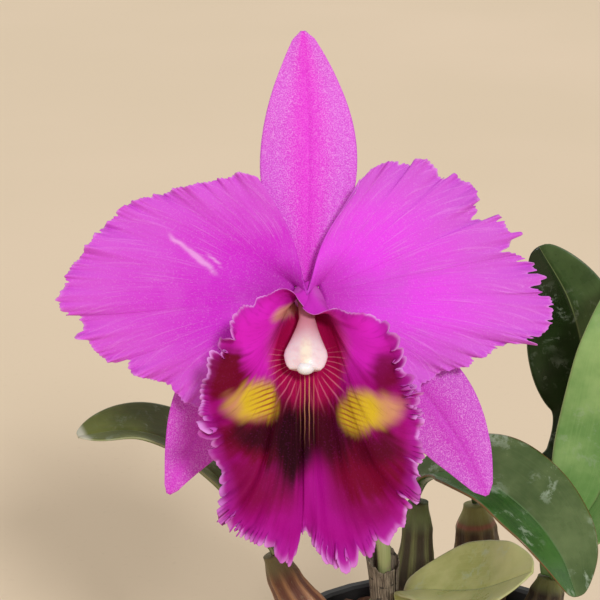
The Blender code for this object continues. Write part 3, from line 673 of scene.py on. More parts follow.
# Margins as seen from in front: (across, up), in millimetres
LEFT_MARGIN = [
    (-16.2, 39.5), (-21.5, 40.9), (-27, 39.6), (-33.7, 38), (-45.2, 35.3), (-55.8, 32.3), (-62, 28.7),
    (-67.3, 23.8), (-71, 19.2), (-75, 13.5), (-78.7, 8.9), (-81.5, 1.8), (-81.6, -3), (-79, -6.9),
    (-75.6, -7.8), (-73.8, -12.2), (-69.5, -18.5), (-63.7, -22.1), (-60.4, -21.6), (-57, -25.1),
    (-50.8, -27.6), (-45.2, -30.4), (-40, -34.3), (-33, -38.3), (-24, -36),
]
RIGHT_MARGIN = [
    (16, 34), (17.6, 38), (20.5, 42.2), (25.1, 43.9), (29.5, 45.2), (34.7, 44), (37.3, 45.6),
    (42.6, 43.2), (45.2, 40), (49, 40.9), (54.3, 37.4), (55.8, 33), (55.6, 29.2), (58.6, 26.3),
    (63, 27.3), (66, 23.1), (67.5, 18.8), (67.4, 15), (71.2, 14), (75.2, 10.4), (77.2, 5.4),
    (77.2, 1.4), (80.6, 0.2), (82.2, -5), (79, -11.8), (73, -13.6), (67.7, -16), (60, -18.2),
    (51.8, -23), (43.2, -26.3), (37.3, -29.4), (32, -31), (25, -30),
]
# Fingers and slits: point on the margin, width, reach
LEFT_FINGERS = [
    ((-74.5, -13), 2.4, 3.2), ((-76.5, -8), 1.4, -1.6), ((-80.5, -5.4), 1.0, -1.5),
    ((-81.9, -0.5), 1.2, 1.2), ((-80, 5), 0.9, -1.3), ((-60.4, -21.4), 1.6, -1.2),
    ((-46, -30), 1.2, -1.0), ((-69, 21.6), 1.0, -1.2), ((-63.5, 27.4), 1.1, -1.0),
    ((-52, 33.2), 1.3, -0.8),
]
RIGHT_FINGERS = [
    ((31.5, 44.9), 1.0, -1.2), ((36, 44.6), 0.9, -1.0), ((47, 40.2), 1.4, -1.6),
    ((55.7, 31), 1.3, -1.6), ((57.2, 27.2), 1.6, -2.6), ((64.5, 25.6), 0.9, -2.4),
    ((67.4, 20.2), 1.7, 4.2), ((67.2, 16), 1.5, -3.0), ((73.2, 12.4), 0.9, -3.4),
    ((74.6, 11), 1.5, 2.0), ((76.2, 8.2), 0.9, -3.6), ((76.9, 6.4), 1.5, 1.8), ((77.4, 3.4), 1.0, -3.2),
    ((78.8, 0.8), 0.9, -2.0), ((82.3, -3), 0.8, -1.4), ((81.4, -8), 0.9, -1.6),
    ((76, -12.8), 1.1, -2.6), ((71, -14.6), 2.4, 4.8), ((64, -17), 1.1, -1.6), ((56, -20.6), 1.2, -1.2),
    ((47, -25), 1.2, -1.0),
]


def petal_surface(u, v, rim, side_sign, phase):
    """A petal before its frills: drawn out from its foot to the margin, cupped and lapping."""
    angle = math.radians(90) - side_sign * CLAW_TURN
    claw = np.array([math.cos(angle), math.sin(angle)]) * CLAW_AWAY
    tangent = np.array([-math.sin(angle), math.cos(angle)]) * side_sign * CLAW_HALF
    reach = u**0.9
    share = reach[..., None]
    foot = (claw + tangent) * (1 - v[..., None]) + (claw - tangent) * v[..., None]
    flat = foot * (1 - share) + rim.at(v)[..., :2] * share
    inner = np.maximum(0, 1 - v / 0.22) ** 2
    outer = np.maximum(0, (v - 0.78) / 0.22) ** 2
    bow = np.sin(np.pi * reach)
    lap = inner * (1 - reach) ** 5
    lap_across, lap_down, lap_out = PETAL_LAP
    flat[..., 0] += -side_sign * PETAL_BOW * inner * bow
    flat[..., 1] += (-2.0 * inner - 1.5 * outer) * bow
    flat[..., 0] -= side_sign * lap_across * lap
    flat[..., 1] -= lap_down * lap
    hang = 0.35 + 0.65 * np.sin(np.pi * (0.15 + 0.6 * v)) - 0.8 * inner
    out = CLAW_OUT + PETAL_RISE * np.sin(np.pi * 0.62 * reach) - 5.0 * reach**2 * hang
    out += 0.9 * np.sin(TAU * 2.6 * v + phase) * reach + lap_out * lap
    return flower_point(flat[..., 0], flat[..., 1], out)


def make_petal(name, margin, fingers, side_sign, phase, mat):
    rim = Path(margin)
    u, v = grid(64, 620, 1.35)
    place = petal_surface(u, v, rim, side_sign, phase)
    ends = np.minimum(1, np.minimum(v / 0.06, (1.0 - v) / 0.06))
    ruffle = 2.3 * wave(v, 8, phase) * u**6 * (0.3 + 0.7 * ends)
    crimp = (1.1 * wave(v, 27, phase + 1) * u**11 + 0.6 * wave(v, 58, phase + 3) * u**20) * ends
    ribs = 0.06 * wave(v, 44, phase) * smooth(0.2, 0.8, u) * ends
    place = place + normals(place) * (ruffle + crimp + ribs)[..., None]
    outwards = unit(np.gradient(place, axis=0))
    jag = 0.8 * teeth(v, 120, 11 + side_sign) + 0.7 * uneven(v, 46, 5 + side_sign) - 0.4
    jag = jag * (0.25 + 0.75 * ends) + fringe(v, rim, fingers)
    place = place + outwards * (jag * smooth(0.86, 1.0, u))[..., None]
    thickness = 0.22 + 0.5 * (1 - u**3)
    masks = {
        "rim": smooth(0.978, 1.0, u) * (0.35 + 0.45 * uneven(v, 120, 9)),
        "crease": crease_mask(place) if side_sign < 0 else np.zeros_like(u),
    }
    dress(add_blade(name + "_dressed", place, thickness, u, v, masks, FLOWER), mat, name)


# Scuffs on the left petal: start, end, width
CREASES = [
    ((-46, 21), (-33, 10.5), 0.7), ((-39, 15.8), (-29, 7.2), 0.8), ((-33, 14.5), (-27.5, 9.5), 0.45),
]


def crease_mask(place):
    """Pale scuffs along a crease of the left petal, three short streaks side by side."""
    a, b = place[..., 0], place[..., 2]
    total = np.zeros_like(a)
    for (x0, y0), (x1, y1), width in CREASES:
        way = np.array([x1 - x0, y1 - y0])
        size = np.hypot(*way)
        along = ((a - x0) * way[0] + (b - y0) * way[1]) / size
        away = ((a - x0) * way[1] - (b - y0) * way[0]) / size
        away = away + 0.5 * uneven(np.clip(along / size, 0, 1), 6, 31)
        total += np.exp(-((away / width) ** 2)) * smooth(-1, 3, along) * smooth(size + 1, size - 4, along)
    return np.clip(total, 0, 1)


# The lip's margin as seen from in front: (across, up, out), from the seam down the left side and round
LIP_MARGIN = facing([
    (-1.0, -3.2, 15), (-2.2, -1.2, 15.3), (-3.6, 0.9, 16), (-5.4, 2, 17), (-8.3, 2.7, 18),
    (-12, 1.4, 19.3), (-14.9, -0.3, 20), (-20.5, -4.3, 21.5), (-24.8, -8.3, 22.5), (-27.6, -13.2, 22.8),
    (-30.6, -19.1, 23), (-33.8, -25.7, 23), (-35.8, -32.3, 23), (-35.2, -40, 23), (-32.4, -45.6, 24),
    (-31.6, -50.5, 25), (-30.2, -56.5, 26), (-27.9, -62, 27), (-26.3, -67.6, 27), (-25.2, -73.6, 26),
    (-23.6, -79.2, 25.5), (-19.5, -79.5, 25), (-12.2, -82.2, 24.5), (-6.8, -86.4, 24.5),
    (-3.4, -84, 25), (-1.4, -79.6, 26), (2.6, -80.4, 25.5), (8.6, -86.2, 24.5), (14.2, -87.6, 24),
    (19, -85, 24), (22.8, -80.8, 24.8), (27.2, -79.2, 24.8), (31.2, -76, 25.4), (34, -70.6, 26.6),
    (34.6, -66, 27), (36.9, -58, 27), (36.4, -51, 26.5), (37.1, -44.5, 25), (36.4, -36, 24),
    (32.8, -27, 23.8), (31.8, -19.6, 23.4), (28.6, -12.5, 23), (24.8, -8.6, 22.3), (19.1, -5.9, 21),
    (12.5, -4.8, 19.4), (7.4, -4.8, 17.8), (2.6, -5.8, 16), (0.2, -5, 14.6), (-1.6, -3.4, 13.6),
])
LIP_FINGERS = [
    ((-33.4, -42.6), 1.6, -3.2), ((-31, -48.6), 1.4, 1.6), ((-26.4, -65), 1.2, -1.4),
    ((-21.5, -77.6), 1.2, -1.6), ((-14.5, -79.4), 1.2, -1.2), ((-5.6, -84), 2.6, 2.0),
    ((-1.2, -77), 2.6, -2.4), ((4.6, -81), 1.2, -1.4), ((10.5, -84), 1.1, -1.6), ((17, -83), 1.0, -1.4),
    ((22.6, -78.2), 3.0, -2.8), ((29.4, -74.6), 1.2, -1.4), ((33, -66), 1.0, -4.6),
    ((35.5, -53.6), 1.2, -1.6), ((35.4, -39), 1.4, -2.2), ((30.8, -23.6), 1.6, -2.4),
    ((-29.4, -17.6), 1.4, -1.6), ((-25.2, -9.8), 1.5, -1.4),
]
# Folds of the margin towards the viewer or away: point on the margin, width, push
LIP_CURLS = [
    ((-25.5, -10.5), 7, 3.2), ((-30.5, -18), 6, -2.6), ((-33.5, -43), 8, 3.6), ((27.5, -12), 7, 2.8),
    ((31.8, -20), 6, -2.8), ((34, -31), 8, 4.2), ((-26, -67), 9, 3.6), ((10, -84), 14, 2.6),
    ((35, -62), 8, 3.4),
]
# Tight frills: point on the margin, width, strength
LIP_KNOTS = [
    ((-27.8, -13.5), 13, 1), ((-33.5, -44), 11, 1), ((30.5, -18), 14, 1), ((34.5, -31), 12, 0.8),
    ((-26.4, -68), 12, 1), ((12, -86), 18, 1), ((35.6, -54), 14, 0.7), ((-8, -85), 10, 0.6),
]
LIP_FOOT_RADIUS = 4.6
LIP_FOOT_OUT = 0.5
LIP_OVERLAP = 0.16


def lip_surface(u, v, rim):
    """The trumpet before its frills: each line runs from the foot out of the tube and flares to the rim."""
    turn = np.pi / 2 - LIP_OVERLAP + (TAU + 2 * LIP_OVERLAP) * v
    rx, ry = np.cos(turn), np.sin(turn)
    radius = LIP_FOOT_RADIUS + 0.6 * smooth(0.06, 0.0, v)
    foot = flower_point(rx * radius, ry * radius, LIP_FOOT_OUT)
    edge = rim.at(v)
    down = 0.5 - 0.5 * np.cos(TAU * v)
    free = blend([(0, 0), (0.09, 1)], np.minimum(v, 1 - v))[..., None]
    tube_way = unit(flower_point(0.35 * rx, -0.62 - 0.25 * down, 0.78 - 0.52 * down))
    tube_way = np.array([0, -0.66, -0.75]) * (1 - free) + tube_way * free
    flare = unit(flower_point(0.9 * rx, ry - 0.15, -0.05 - 0.35 * down))
    flare = np.array([0, -1.0, 0.0]) * (1 - free) + flare * free
    span = np.linalg.norm(edge - foot, axis=-1, keepdims=True)
    near = foot + tube_way * span * 0.42
    far = edge - flare * span * 0.34
    u = u[..., None]
    w = 1 - u
    return foot * w**3 + near * 3 * w * w * u + far * 3 * w * u * u + edge * u**3


def make_lip(mat):
    rim = flower_line(LIP_MARGIN)
    front = Path([point[:2] for point in LIP_MARGIN])
    u, v = grid(56, 860, 1.5)
    place = lip_surface(u, v, rim)
    ends = np.clip(np.minimum(v / 0.05, (1 - v) / 0.05), 0, 1)
    curls = fringe(v, front, LIP_CURLS, 2)
    lively = smooth(0.05, 0.12, v) * smooth(0.97, 0.88, v) * (0.75 + 0.55 * uneven(v, 26, 51))
    lively = lively + 0.14 * np.abs(curls)
    turns = TAU * (92 * v + 2.6 * uneven(v, 38, 52))
    loops = TAU * (62 * v + 1.9 * uneven(v, 28, 53))
    near_edge = smooth(0.93, 1.0, u)
    knots = np.clip(fringe(v, front, LIP_KNOTS, 2), 0, 1) * smooth(0.9, 1.0, u)
    ruffle = 2.3 * wave(v, 12, 0.7) * u**6 + curls * u**8
    crimp = lively * (1.3 * wave(v, 31, 2.1) * u**12 + 0.9 * np.sin(turns + 0.8) * near_edge)
    crimp = crimp + 2.8 * knots
    outwards = unit(np.gradient(place, axis=0))
    along = unit(np.gradient(place, axis=1))
    place = place + normals(place) * ((ruffle + crimp) * ends)[..., None]
    jag = 0.4 * teeth(v, 200, 21) + 1.0 * uneven(v, 52, 23) + 1.1 * uneven(v, 88, 24)
    jag = (jag + fringe(v, front, LIP_FINGERS)) * smooth(0.88, 1, u)
    jag = jag + lively * 0.6 * np.sin(turns) * near_edge
    jag = jag + knots * (2.2 * np.sin(loops) - 1.3)
    sway = lively * 0.55 * np.cos(turns) * near_edge + 0.9 * knots * np.cos(loops)
    place = place + outwards * (jag * ends)[..., None] - along * (sway * ends)[..., None]
    thickness = 0.22 + 0.5 * (1 - u**3)
    dress(add_blade("lip_dressed", place, thickness, u, v, lip_masks(place, u, v), FLOWER), mat, "lip")


def spot(a, b, centre, radii, turn, soft, rough):
    """1 inside a turned ellipse, fading over its border; rough shifts the border."""
    c, s = math.cos(turn), math.sin(turn)
    x = ((a - centre[0]) * c + (b - centre[1]) * s) / radii[0]
    y = (-(a - centre[0]) * s + (b - centre[1]) * c) / radii[1]
    return smooth(1 + soft, 1 - soft, np.hypot(x, y) + rough)


# Soft ellipses of each colour, seen from in front: strength, centre, radii, softness
BLUSH = [(1, (-17, -11), (12, 15), 0.6), (1, (19, -13), (11, 12), 0.6)]
CRIMSON = [
    (1, (-1, -38), (13, 12), 0.35), (1, (19, -56), (17, 15), 0.45), (1, (-15, -47), (20, 10), 0.4),
    (1, (0, -50), (15, 12), 0.5), (0.75, (-17, -60), (15, 13), 0.6), (0.75, (17, -73), (13, 9), 0.6),
    (0.75, (10, -64), (9, 13), 0.5),
]
BLOTCH = [(1, (-28, -25.5), (8.5, 10), 0.35), (0.85, (26.5, -25.5), (5, 7), 0.5)]
TUBE_EDGE = [(1, (0.3, -18), (14, 15.5), 0.14)]
# The tube's crimson: partly the lip's own colour, partly painted shade inside the tube.
TUBE = [(1, (0.3, -20), (12.4, 17), 0.16)]
DARK = [
    (1, (-4.4, -47), (9, 14), 0.5), (0.9, (-14, -46), (12, 6), 0.5), (0.8, (6, -46), (13, 10), 0.6),
    (0.5, (22, -50), (10, 6), 0.5),
]
PALE_EYE = [(0.6, (-22, -36), (5.6, 4.4), 0.6), (0.7, (25.5, -37), (6.2, 4.8), 0.6)]
YELLOW = [(1, (-16.6, -34.8), (6.2, 6.4), 0.45), (1, (18, -38.4), (6, 6.8), 0.45)]


def lip_masks(place, u, v):
    out = -place[..., 1]
    a = place[..., 0] / (1 - out / VIEW_DISTANCE)
    b = place[..., 2] / (1 - out / VIEW_DISTANCE)
    streak = 0.10 * uneven(v, 150, 41) + 0.06 * uneven(v, 330, 42)
    cloud = 0.16 * uneven(v, 34, 43) * np.cos(9 * u) + 0.10 * uneven(u, 14, 44)
    cloud = cloud + 0.12 * uneven(v, 90, 45) * np.sin(26 * u + 6 * uneven(v, 20, 46))

    def spots(ellipses, rough):
        each = [k * spot(a, b, centre, radii, 0.0, soft, rough) for k, centre, radii, soft in ellipses]
        return np.max(each, axis=0)

    blotch = spots(BLOTCH, cloud + streak)
    yellow = spots(YELLOW, cloud)
    keel = np.exp(-(((a - 3.2) / (2.4 + 0.26 * np.maximum(0, -52 - b))) ** 2)) * smooth(-48, -62, b)
    gold = np.exp(-((a / 2.3) ** 2)) * smooth(-24, -28, b) * smooth(-52, -30, b)
    throat = smooth(5.5, 7, np.hypot(a, (b + 22) * 0.85)) * smooth(14, 10.5, np.abs(a))
    throat = throat * smooth(-40, -28, b) * smooth(-16, -20, b)
    return {
        "blush": spots(BLUSH, cloud),
        "crimson": spots(CRIMSON, cloud + streak),
        "blotch": blotch,
        "tube_edge": 0.55 * spots(TUBE_EDGE, 0.3 * streak) * smooth(-34, -24, b),
        "tube": spots(TUBE, 0.3 * streak),
        "dark": spots(DARK, cloud + streak),
        "keel": np.clip(keel + 0.8 * smooth(-66, -80, b + 6 * cloud), 0, 1),
        "fringe": 0.6 * smooth(0.9, 0.99, u) * (1 - 0.6 * blotch),
        "cream": 0.85 * spot(a, b, (-7, -4.6), (5.4, 1.8), 0.5, 0.5, cloud),
        "pale_eye": spots(PALE_EYE, cloud + 0.5 * streak),
        "yellow": yellow,
        "veins": 0.62 * throat * (1 - gold),
        "gold": 0.8 * gold,
        "roof": smooth(0.1, 0.03, np.minimum(v, 1 - v)),
        "eye_streaks": yellow * smooth(22, 12, np.abs(a)) * 0.8,
        "rim": np.clip(smooth(0.968, 0.996, u) * (0.6 + 0.4 * uneven(v, 160, 47)), 0, 1),
    }


COLUMN_LINE = [(0, 0, -0.3), (0, 0, 1.6), (0, -6.8, 8.0), (-0.3, -15.6, 14.3), (-0.6, -23.2, 19.4)]
COLUMN_WIDTH = [
    (0, 3.9), (0.06, 3.2), (0.37, 2.6), (0.5, 3.6), (0.64, 5.1), (0.78, 6.8), (0.84, 7.1), (0.9, 6.7),
    (0.96, 6.1), (1, 5.0),
]
COLUMN_DEPTH = [(0, 3.0), (0.1, 1.8), (0.38, 2.0), (0.75, 3.8), (1, 3.0)]


def body_rings(line, width, depth, sides, rings, swell):
    """Rings of points along a line; swell(share, angle) scales each point's distance from it."""
    share, angle = np.meshgrid(np.linspace(0, 1, rings), np.arange(sides) / sides * TAU, indexing="ij")
    along = line.heading(share)
    side = np.broadcast_to(np.array([1.0, 0.0, 0.0]), along.shape)
    side = unit(side - along * dot(side, along))
    front = np.cross(along, side)
    swollen = swell(share, angle)
    offset = side * (np.cos(angle) * width(share) * swollen)[..., None]
    offset = offset + front * (np.sin(angle) * depth(share) * swollen)[..., None]
    return line.at(share) + offset, share, angle


def make_column(mat):
    line = flower_line(COLUMN_LINE)

    def width(share):
        return np.interp(share, *zip(*COLUMN_WIDTH))

    def depth(share):
        return blend(COLUMN_DEPTH, share) * (1 - 0.35 * smooth(0.9, 1, share))

    def wings(share, angle):
        thin = 0.84 + 0.16 * np.abs(np.cos(angle)) ** 6
        return np.where(share > 0.35, thin + (1 - thin) * smooth(0.6, 0.35, share), 1.0)

    rings, share, angle = body_rings(line, width, depth, 64, 60, wings)
    # The cream stripe down the middle of the tip: partly the column's own colour, partly a painted highlight.
    middle = smooth(0.9, 1.0, np.abs(np.sin(angle)))
    masks = {"tip": smooth(0.42, 0.8, share), "stripe": smooth(0.6, 0.8, share) * middle * 0.8}
    dress(add_tube("column_dressed", rings, masks, FLOWER), mat, "column")


def make_cap(mat):
    """The furrowed cap that sits on the column's tip."""
    column = flower_line(COLUMN_LINE)
    way = column.heading(1.0)
    start = column.at(1.0) - way
    line = Path([start, start + way * 1.3, start + way * 2.6])

    def width(share):
        return 3.0 * np.sqrt(np.clip(1.01 - share**2.6, 0.01, 1))

    def depth(share):
        return width(share) * 0.75

    def furrow(share, angle):
        return 1 - 0.10 * np.exp(-(((np.sin(angle) - 1) / 0.06) ** 2)) - 0.04 * np.cos(2 * angle) * share

    rings, share = body_rings(line, width, depth, 48, 24, furrow)[:2]
    masks = {"tip": np.ones_like(share), "stripe": np.zeros_like(share)}
    dress(add_tube("anther_cap_dressed", rings, masks, FLOWER), mat, "anther_cap")


# Bulbs, leaves, stem and sheath

GAP = 0.3
BULB_FOOT = 106.0
# Foot (x, y), top (x, y, z), radius where it is widest and at its top, number of ridges
BULBS = {
    "pseudobulb_lead": ((-17, -20), (-19, -21, 142), 10.5, 8.8, 8),
    "pseudobulb_left": ((-43, -8), (-61.5, -5, 153.5), 8.6, 4.2, 8),
    "pseudobulb_middle": ((-10, 12), (-8.5, 12, 166.5), 8.0, 3.8, 7),
    "pseudobulb_right": ((17, 27), (13.8, 27, 159), 11.0, 4.4, 9),
    "pseudobulb_far_right": ((37, 10), (41, 12, 136), 9.0, 4.4, 8),
}
# Points from the bulb's top, width, and the way the upper face looks at foot, middle and tip
LEAVES = {
    "leaf_left": (
        [(-5, 1.5, 8), (-14, 6, 18), (-25, 8, 30), (-38, 8, 40), (-52, 5, 45), (-69, -2, 46)],
        36.0, (0.9, -0.4, 0.4), (0.6, -0.1, 0.9), (0.1, 0.05, 1.0),
    ),
    "leaf_arched": (
        [(3, 1, 8), (11, -1, 11.5), (25, -9, 10), (39, -20, 2.5), (49, -31, -8), (54, -41, -19)],
        43.0, (-0.8, 0.1, 0.4), (0.05, -0.12, 1.0), (0.6, -0.55, 0.65),
    ),
    "leaf_tall": (
        [(2, 2, 6), (12, 7, 8), (33, 12, 11), (44, 14, 28), (41, 14, 52), (34, 13, 76), (22, 11, 97)],
        44.0, (-0.8, -0.5, 0.3), (-0.3, -0.9, 0.1), (-0.1, -1.0, 0.1),
    ),
    "leaf_bright": (
        [(1.5, 0.5, 6), (6, 2, 14), (17, 3, 31), (24, 1, 58), (24.6, -2, 90), (24, -2, 118)],
        43.0, (-0.6, -0.7, 0.2), (-0.4, -0.9, 0.2), (-0.3, -1.0, 0.15),
    ),
    "leaf_front": (
        [(1, -1, 5), (7, -6, 8), (16, -12, 10.5), (25, -20, 15), (33, -28, 22), (40, -36, 29.5)],
        37.0, (-0.75, 0.45, 0.4), (-0.1, -0.5, 0.85), (0.0, -0.5, 0.85),
    ),
}
LEAF_BULB = {
    "leaf_left": "pseudobulb_left",
    "leaf_arched": "pseudobulb_middle",
    "leaf_tall": "pseudobulb_right",
    "leaf_bright": "pseudobulb_far_right",
    "leaf_front": "pseudobulb_lead",
}
# A leaf that stays narrow above its foot: where it starts and ends to widen, and its width before
LEAF_NECK = {"leaf_tall": (0.14, 0.74, 0.3)}
FRONT_LEAF_OFFSET = np.array([4.6, -2.8, 0])
STEM_OFFSET = np.array([-2.7, 1.7, 0])


def bulb_line(name):
    (foot_x, foot_y), top = BULBS[name][:2]
    foot = np.array([foot_x, foot_y, BULB_FOOT], float)
    rise = np.array(top, float) - foot
    lean = np.array([rise[0] * 0.12, rise[1] * 0.12, rise[2] * 0.35])
    return Path([(0, 0, 0), (0, 0, 3), lean, rise * 0.72 + (0, 0, 1), rise]), foot


def make_bulb(name, mat, seed):
    widest, top_radius, ridges = BULBS[name][2:]
    line, foot = bulb_line(name)
    stops = [(0, 5.0), (0.16, widest * 0.78), (0.42, widest), (0.8, widest * 0.72), (1, top_radius)]

    def width(share):
        return blend(stops, share)

    def depth(share):
        return blend(stops, share) * 0.86

    def ridged(share, angle):
        belly = np.sin(np.pi * share)
        wrinkle = 0.012 * uneven((share * 0.93) % 1, 26, seed) * belly
        sharp = 1 - 2 * np.abs(np.sin(ridges * angle / 2 + 0.35 * uneven(share, 4, seed + 1))) ** 0.8
        return 1 + 0.07 * sharp * belly + wrinkle

    rings, share, angle = body_rings(line, width, depth, 96, 70, ridged)
    crest = np.cos(ridges * angle) * np.sin(np.pi * share)
    collar = smooth(0.03, 0.0, np.abs(share - 0.86)) * (name == "pseudobulb_right")
    # The ridge mask leaves the groove colour between the ridges: painted shade.
    masks = {"ridge": smooth(-0.3, 0.8, crest), "collar": collar}
    dress(add_tube(name + "_dressed", rings + foot, masks), mat, name)


def make_leaf(name, mat):
    points, width, *looks_at = LEAVES[name]
    bulb, foot = bulb_line(LEAF_BULB[name])
    axis = bulb.heading(1.0)
    start = foot + bulb.at(1.0) + axis * GAP * 1.6
    if name == "leaf_front":
        start = start + FRONT_LEAF_OFFSET - axis * (axis * FRONT_LEAF_OFFSET).sum()
    line = Path([(0, 0, 0), axis * 2.5, *points])
    looks = Path(looks_at)
    u, v = grid(110, 48)
    share = 0.5 * u + 0.5 * (0.5 - 0.5 * np.cos(np.pi * u))
    along = line.heading(share)
    side = unit(np.cross(along, looks.at(share)))
    upper = np.cross(side, along)
    across = 2 * v - 1
    half = width / 2 * blade_width(share, 0.14, 0.5, 0.1, 0.6)
    if name in LEAF_NECK:
        low, high, foot_share = LEAF_NECK[name]
        half = half * (foot_share + (1 - foot_share) * smooth(low, high, share))
    fold = half * (0.55 - 0.35 * share) * np.abs(across) ** 1.3
    ripple = 0.03 * width * wave(share, 2.5, np.where(across > 0, 1.0, 2.6)) * np.abs(across) * share
    groove = -0.5 * np.exp(-((across * half / 0.9) ** 2)) * smooth(0, 0.1, share)
    place = line.at(share) + side * (half * across)[..., None] + upper * (fold + ripple + groove)[..., None]
    round_edge = np.sqrt(np.clip(1 - np.abs(across) ** 8, 0, 1))
    thickness = (0.5 + 1.3 * round_edge) * (1 - 0.55 * share**6)
    white_tip = smooth(0.955, 0.985, share) * 0.9 * (name == "leaf_left")
    masks = {"pale": white_tip, "half": smooth(-0.05, 0.05, across)}
    dress(add_blade(name + "_dressed", place + start, thickness, u, v, masks), mat, name)


def stem_foot():
    """Where the stem and its sheath start on the lead bulb, and the way they point."""
    bulb, foot = bulb_line("pseudobulb_lead")
    axis = bulb.heading(1.0)
    return foot + bulb.at(1.0) + STEM_OFFSET + axis * GAP * 2, axis


def make_stem(mat):
    foot, axis = stem_foot()
    ovary = [np.array(FLOWER @ Vector((0, -out * MM, 0))) / MM for out in (-34, -11, -0.6)]
    points = [foot, foot + axis * 4, foot + (-1, 0, 22), (-31, -4, 196), (-44, 2, 226), *ovary]
    line = Path([np.array(p) - foot for p in points])

    def radius(share):
        return blend([(0, 2.4), (0.6, 2.7), (0.9, 4.5), (1, 4.5)], share)

    def furrows(share, angle):
        on_ovary = smooth(0.68, 0.85, share) * smooth(1, 0.95, share)
        return 1 - 0.07 * np.maximum(0, np.cos(3 * angle)) ** 2 * on_ovary

    rings = body_rings(line, radius, radius, 40, 120, furrows)[0]
    dress(add_tube("flower_stem_dressed", rings + foot), mat, "flower_stem")


def make_sheath(mat):
    foot = stem_foot()[0]
    u, v = grid(40, 130)
    angle = TAU * (0.02 + 0.96 * v) - 0.6
    ragged = 1 + u**6 * (0.05 * uneven(v, 22, 61) + 0.04 * (teeth(v, 36, 62) - 0.5))
    height = u * 19.0 * (0.82 + 0.18 * np.cos(angle - 2.0)) * ragged
    radius = 4.7 * (1 + 0.22 * u * u + 0.05 * np.sin(3 * angle) * u) + 0.25 * uneven(v, 16, 63) * u
    x, y = radius * np.cos(angle) - 0.06 * height, 0.86 * radius * np.sin(angle)
    place = np.stack([x, y, height], axis=-1)
    thickness = 0.3 + 0.4 * (1 - u**2)
    dress(add_blade("sheath_dressed", place + foot, thickness, u, v), mat, "sheath")


# Bark chips on the bark in the pot

BARK_TOP = 102.0
CHIPS = 330
CHIP_ROOM = 57.0
CHIP_REACH = 60.5
GOLDEN_ANGLE = math.pi * (3 - math.sqrt(5))


def make_chips(mat):
    """Loose chips of bark over the filling, each a rough slab; a few cut into a bulb's foot or the pot's wall."""
    rng = np.random.default_rng(7)
    feet = np.array([spec[0] for spec in BULBS.values()], float)
    base, faces = slab(np.linspace(-1, 1, 4))
    corners = np.abs(base).sum(axis=1, keepdims=True) > 2.4
    all_points, all_faces = [], []
    for i in range(CHIPS):
        radius = CHIP_ROOM * math.sqrt((i + 0.5) / CHIPS)
        angle = i * GOLDEN_ANGLE + rng.uniform(-0.3, 0.3)
        middle = np.array([radius * math.cos(angle), radius * math.sin(angle)])
        size = np.array([rng.uniform(4.0, 8.5), rng.uniform(2.6, 5.0), rng.uniform(1.2, 2.4)])
        room = np.linalg.norm(feet - middle, axis=1).min()
        if room < 7.5 + size[0] * 0.6 or radius + size[0] * 0.75 > CHIP_REACH:
            continue
        shape = base * (1 - 0.16 * corners) + rng.uniform(-0.16, 0.16, base.shape)
        turn = Matrix.Rotation(rng.uniform(0, TAU), 3, "Z")
        turn = turn @ Matrix.Rotation(rng.uniform(-0.35, 0.35), 3, "X")
        turn = turn @ Matrix.Rotation(rng.uniform(-0.3, 0.3), 3, "Y")
        centre = np.array([*middle, BARK_TOP + 3.2 + rng.uniform(-0.6, 2.6)])
        all_faces.append(faces + len(all_points) * len(base))
        all_points.append((shape * size) @ np.array(turn).T + centre)
    points, faces = np.concatenate(all_points), np.concatenate(all_faces)
    chips = add_mesh("bark_chips", points, faces, smooth_faces=False)
    dress(chips, mat, slot="bark_medium")


def slab(steps):
    """Points and quads of the six gridded sides of a cube from -1 to 1, welded."""
    index, points, faces = {}, [], []

    def point_of(co):
        key = tuple(np.round(co, 5))
        if key not in index:
            index[key] = len(points)
            points.append(co)
        return index[key]

    for axis in range(3):
        for end in (-1, 1):
            for i in range(len(steps) - 1):
                for j in range(len(steps) - 1):
                    corners = []
                    for a, b in ((i, j), (i + 1, j), (i + 1, j + 1), (i, j + 1)):
                        co = [0.0, 0.0, 0.0]
                        co[axis], co[(axis + 1) % 3], co[(axis + 2) % 3] = end, steps[a], steps[b]
                        corners.append(point_of(co))
                    faces.append(corners if end > 0 else corners[::-1])
    return np.array(points), np.array(faces)


# Everything together

# Margin, fingers and slits, side, phase of the waves, then the colours: middle, outer, throat (painted shade at
# the foot), veins
PETALS = {
    "petal_left": (LEFT_MARGIN, LEFT_FINGERS, -1, 0.4,
                   (212, 34, 212), (216, 84, 218), (190, 30, 184), (238, 136, 240)),
    "petal_right": (RIGHT_MARGIN, RIGHT_FINGERS, 1, 1.9,
                    (236, 64, 242), (210, 88, 216), (206, 50, 200), (244, 150, 248)),
}
# Stripe, outer colour, strength of the painted glints
SEPAL_TONES = {
    "dorsal_sepal": ((234, 54, 222), (224, 94, 226), 0.55),
    "lateral_sepal_left": ((214, 60, 206), (208, 66, 202), 0.4),
    "lateral_sepal_right": ((204, 56, 202), (204, 80, 208), 0.55),
}
# Dark, light, roughness, strength of the water marks, edge, and what else leaf_look takes
LEAF_TONES = {
    "leaf_left": ((66, 74, 20), (98, 106, 44), 0.42, 0.3, (150, 156, 110)),
    "leaf_arched": ((62, 84, 40), (100, 118, 72), 0.26, 0.7, (116, 86, 48),
                    (92, 122, 76), ((40, 78, 32), (70, 114, 52)), 120.0),
    # leaf_tall: its first dark and light colours are painted shade over its left half; the other pair colours the
    # right half.
    "leaf_tall": ((20, 34, 10), (34, 54, 20), 0.3, 0.3, (70, 84, 50),
                  MIDRIB_HIGHLIGHT, ((52, 80, 38), (84, 112, 62))),
    "leaf_bright": ((106, 150, 80), (150, 184, 114), 0.36, 0.25, (150, 176, 110)),
    "leaf_front": ((150, 156, 84), (184, 186, 124), 0.3, 0.4, (180, 182, 132)),
}
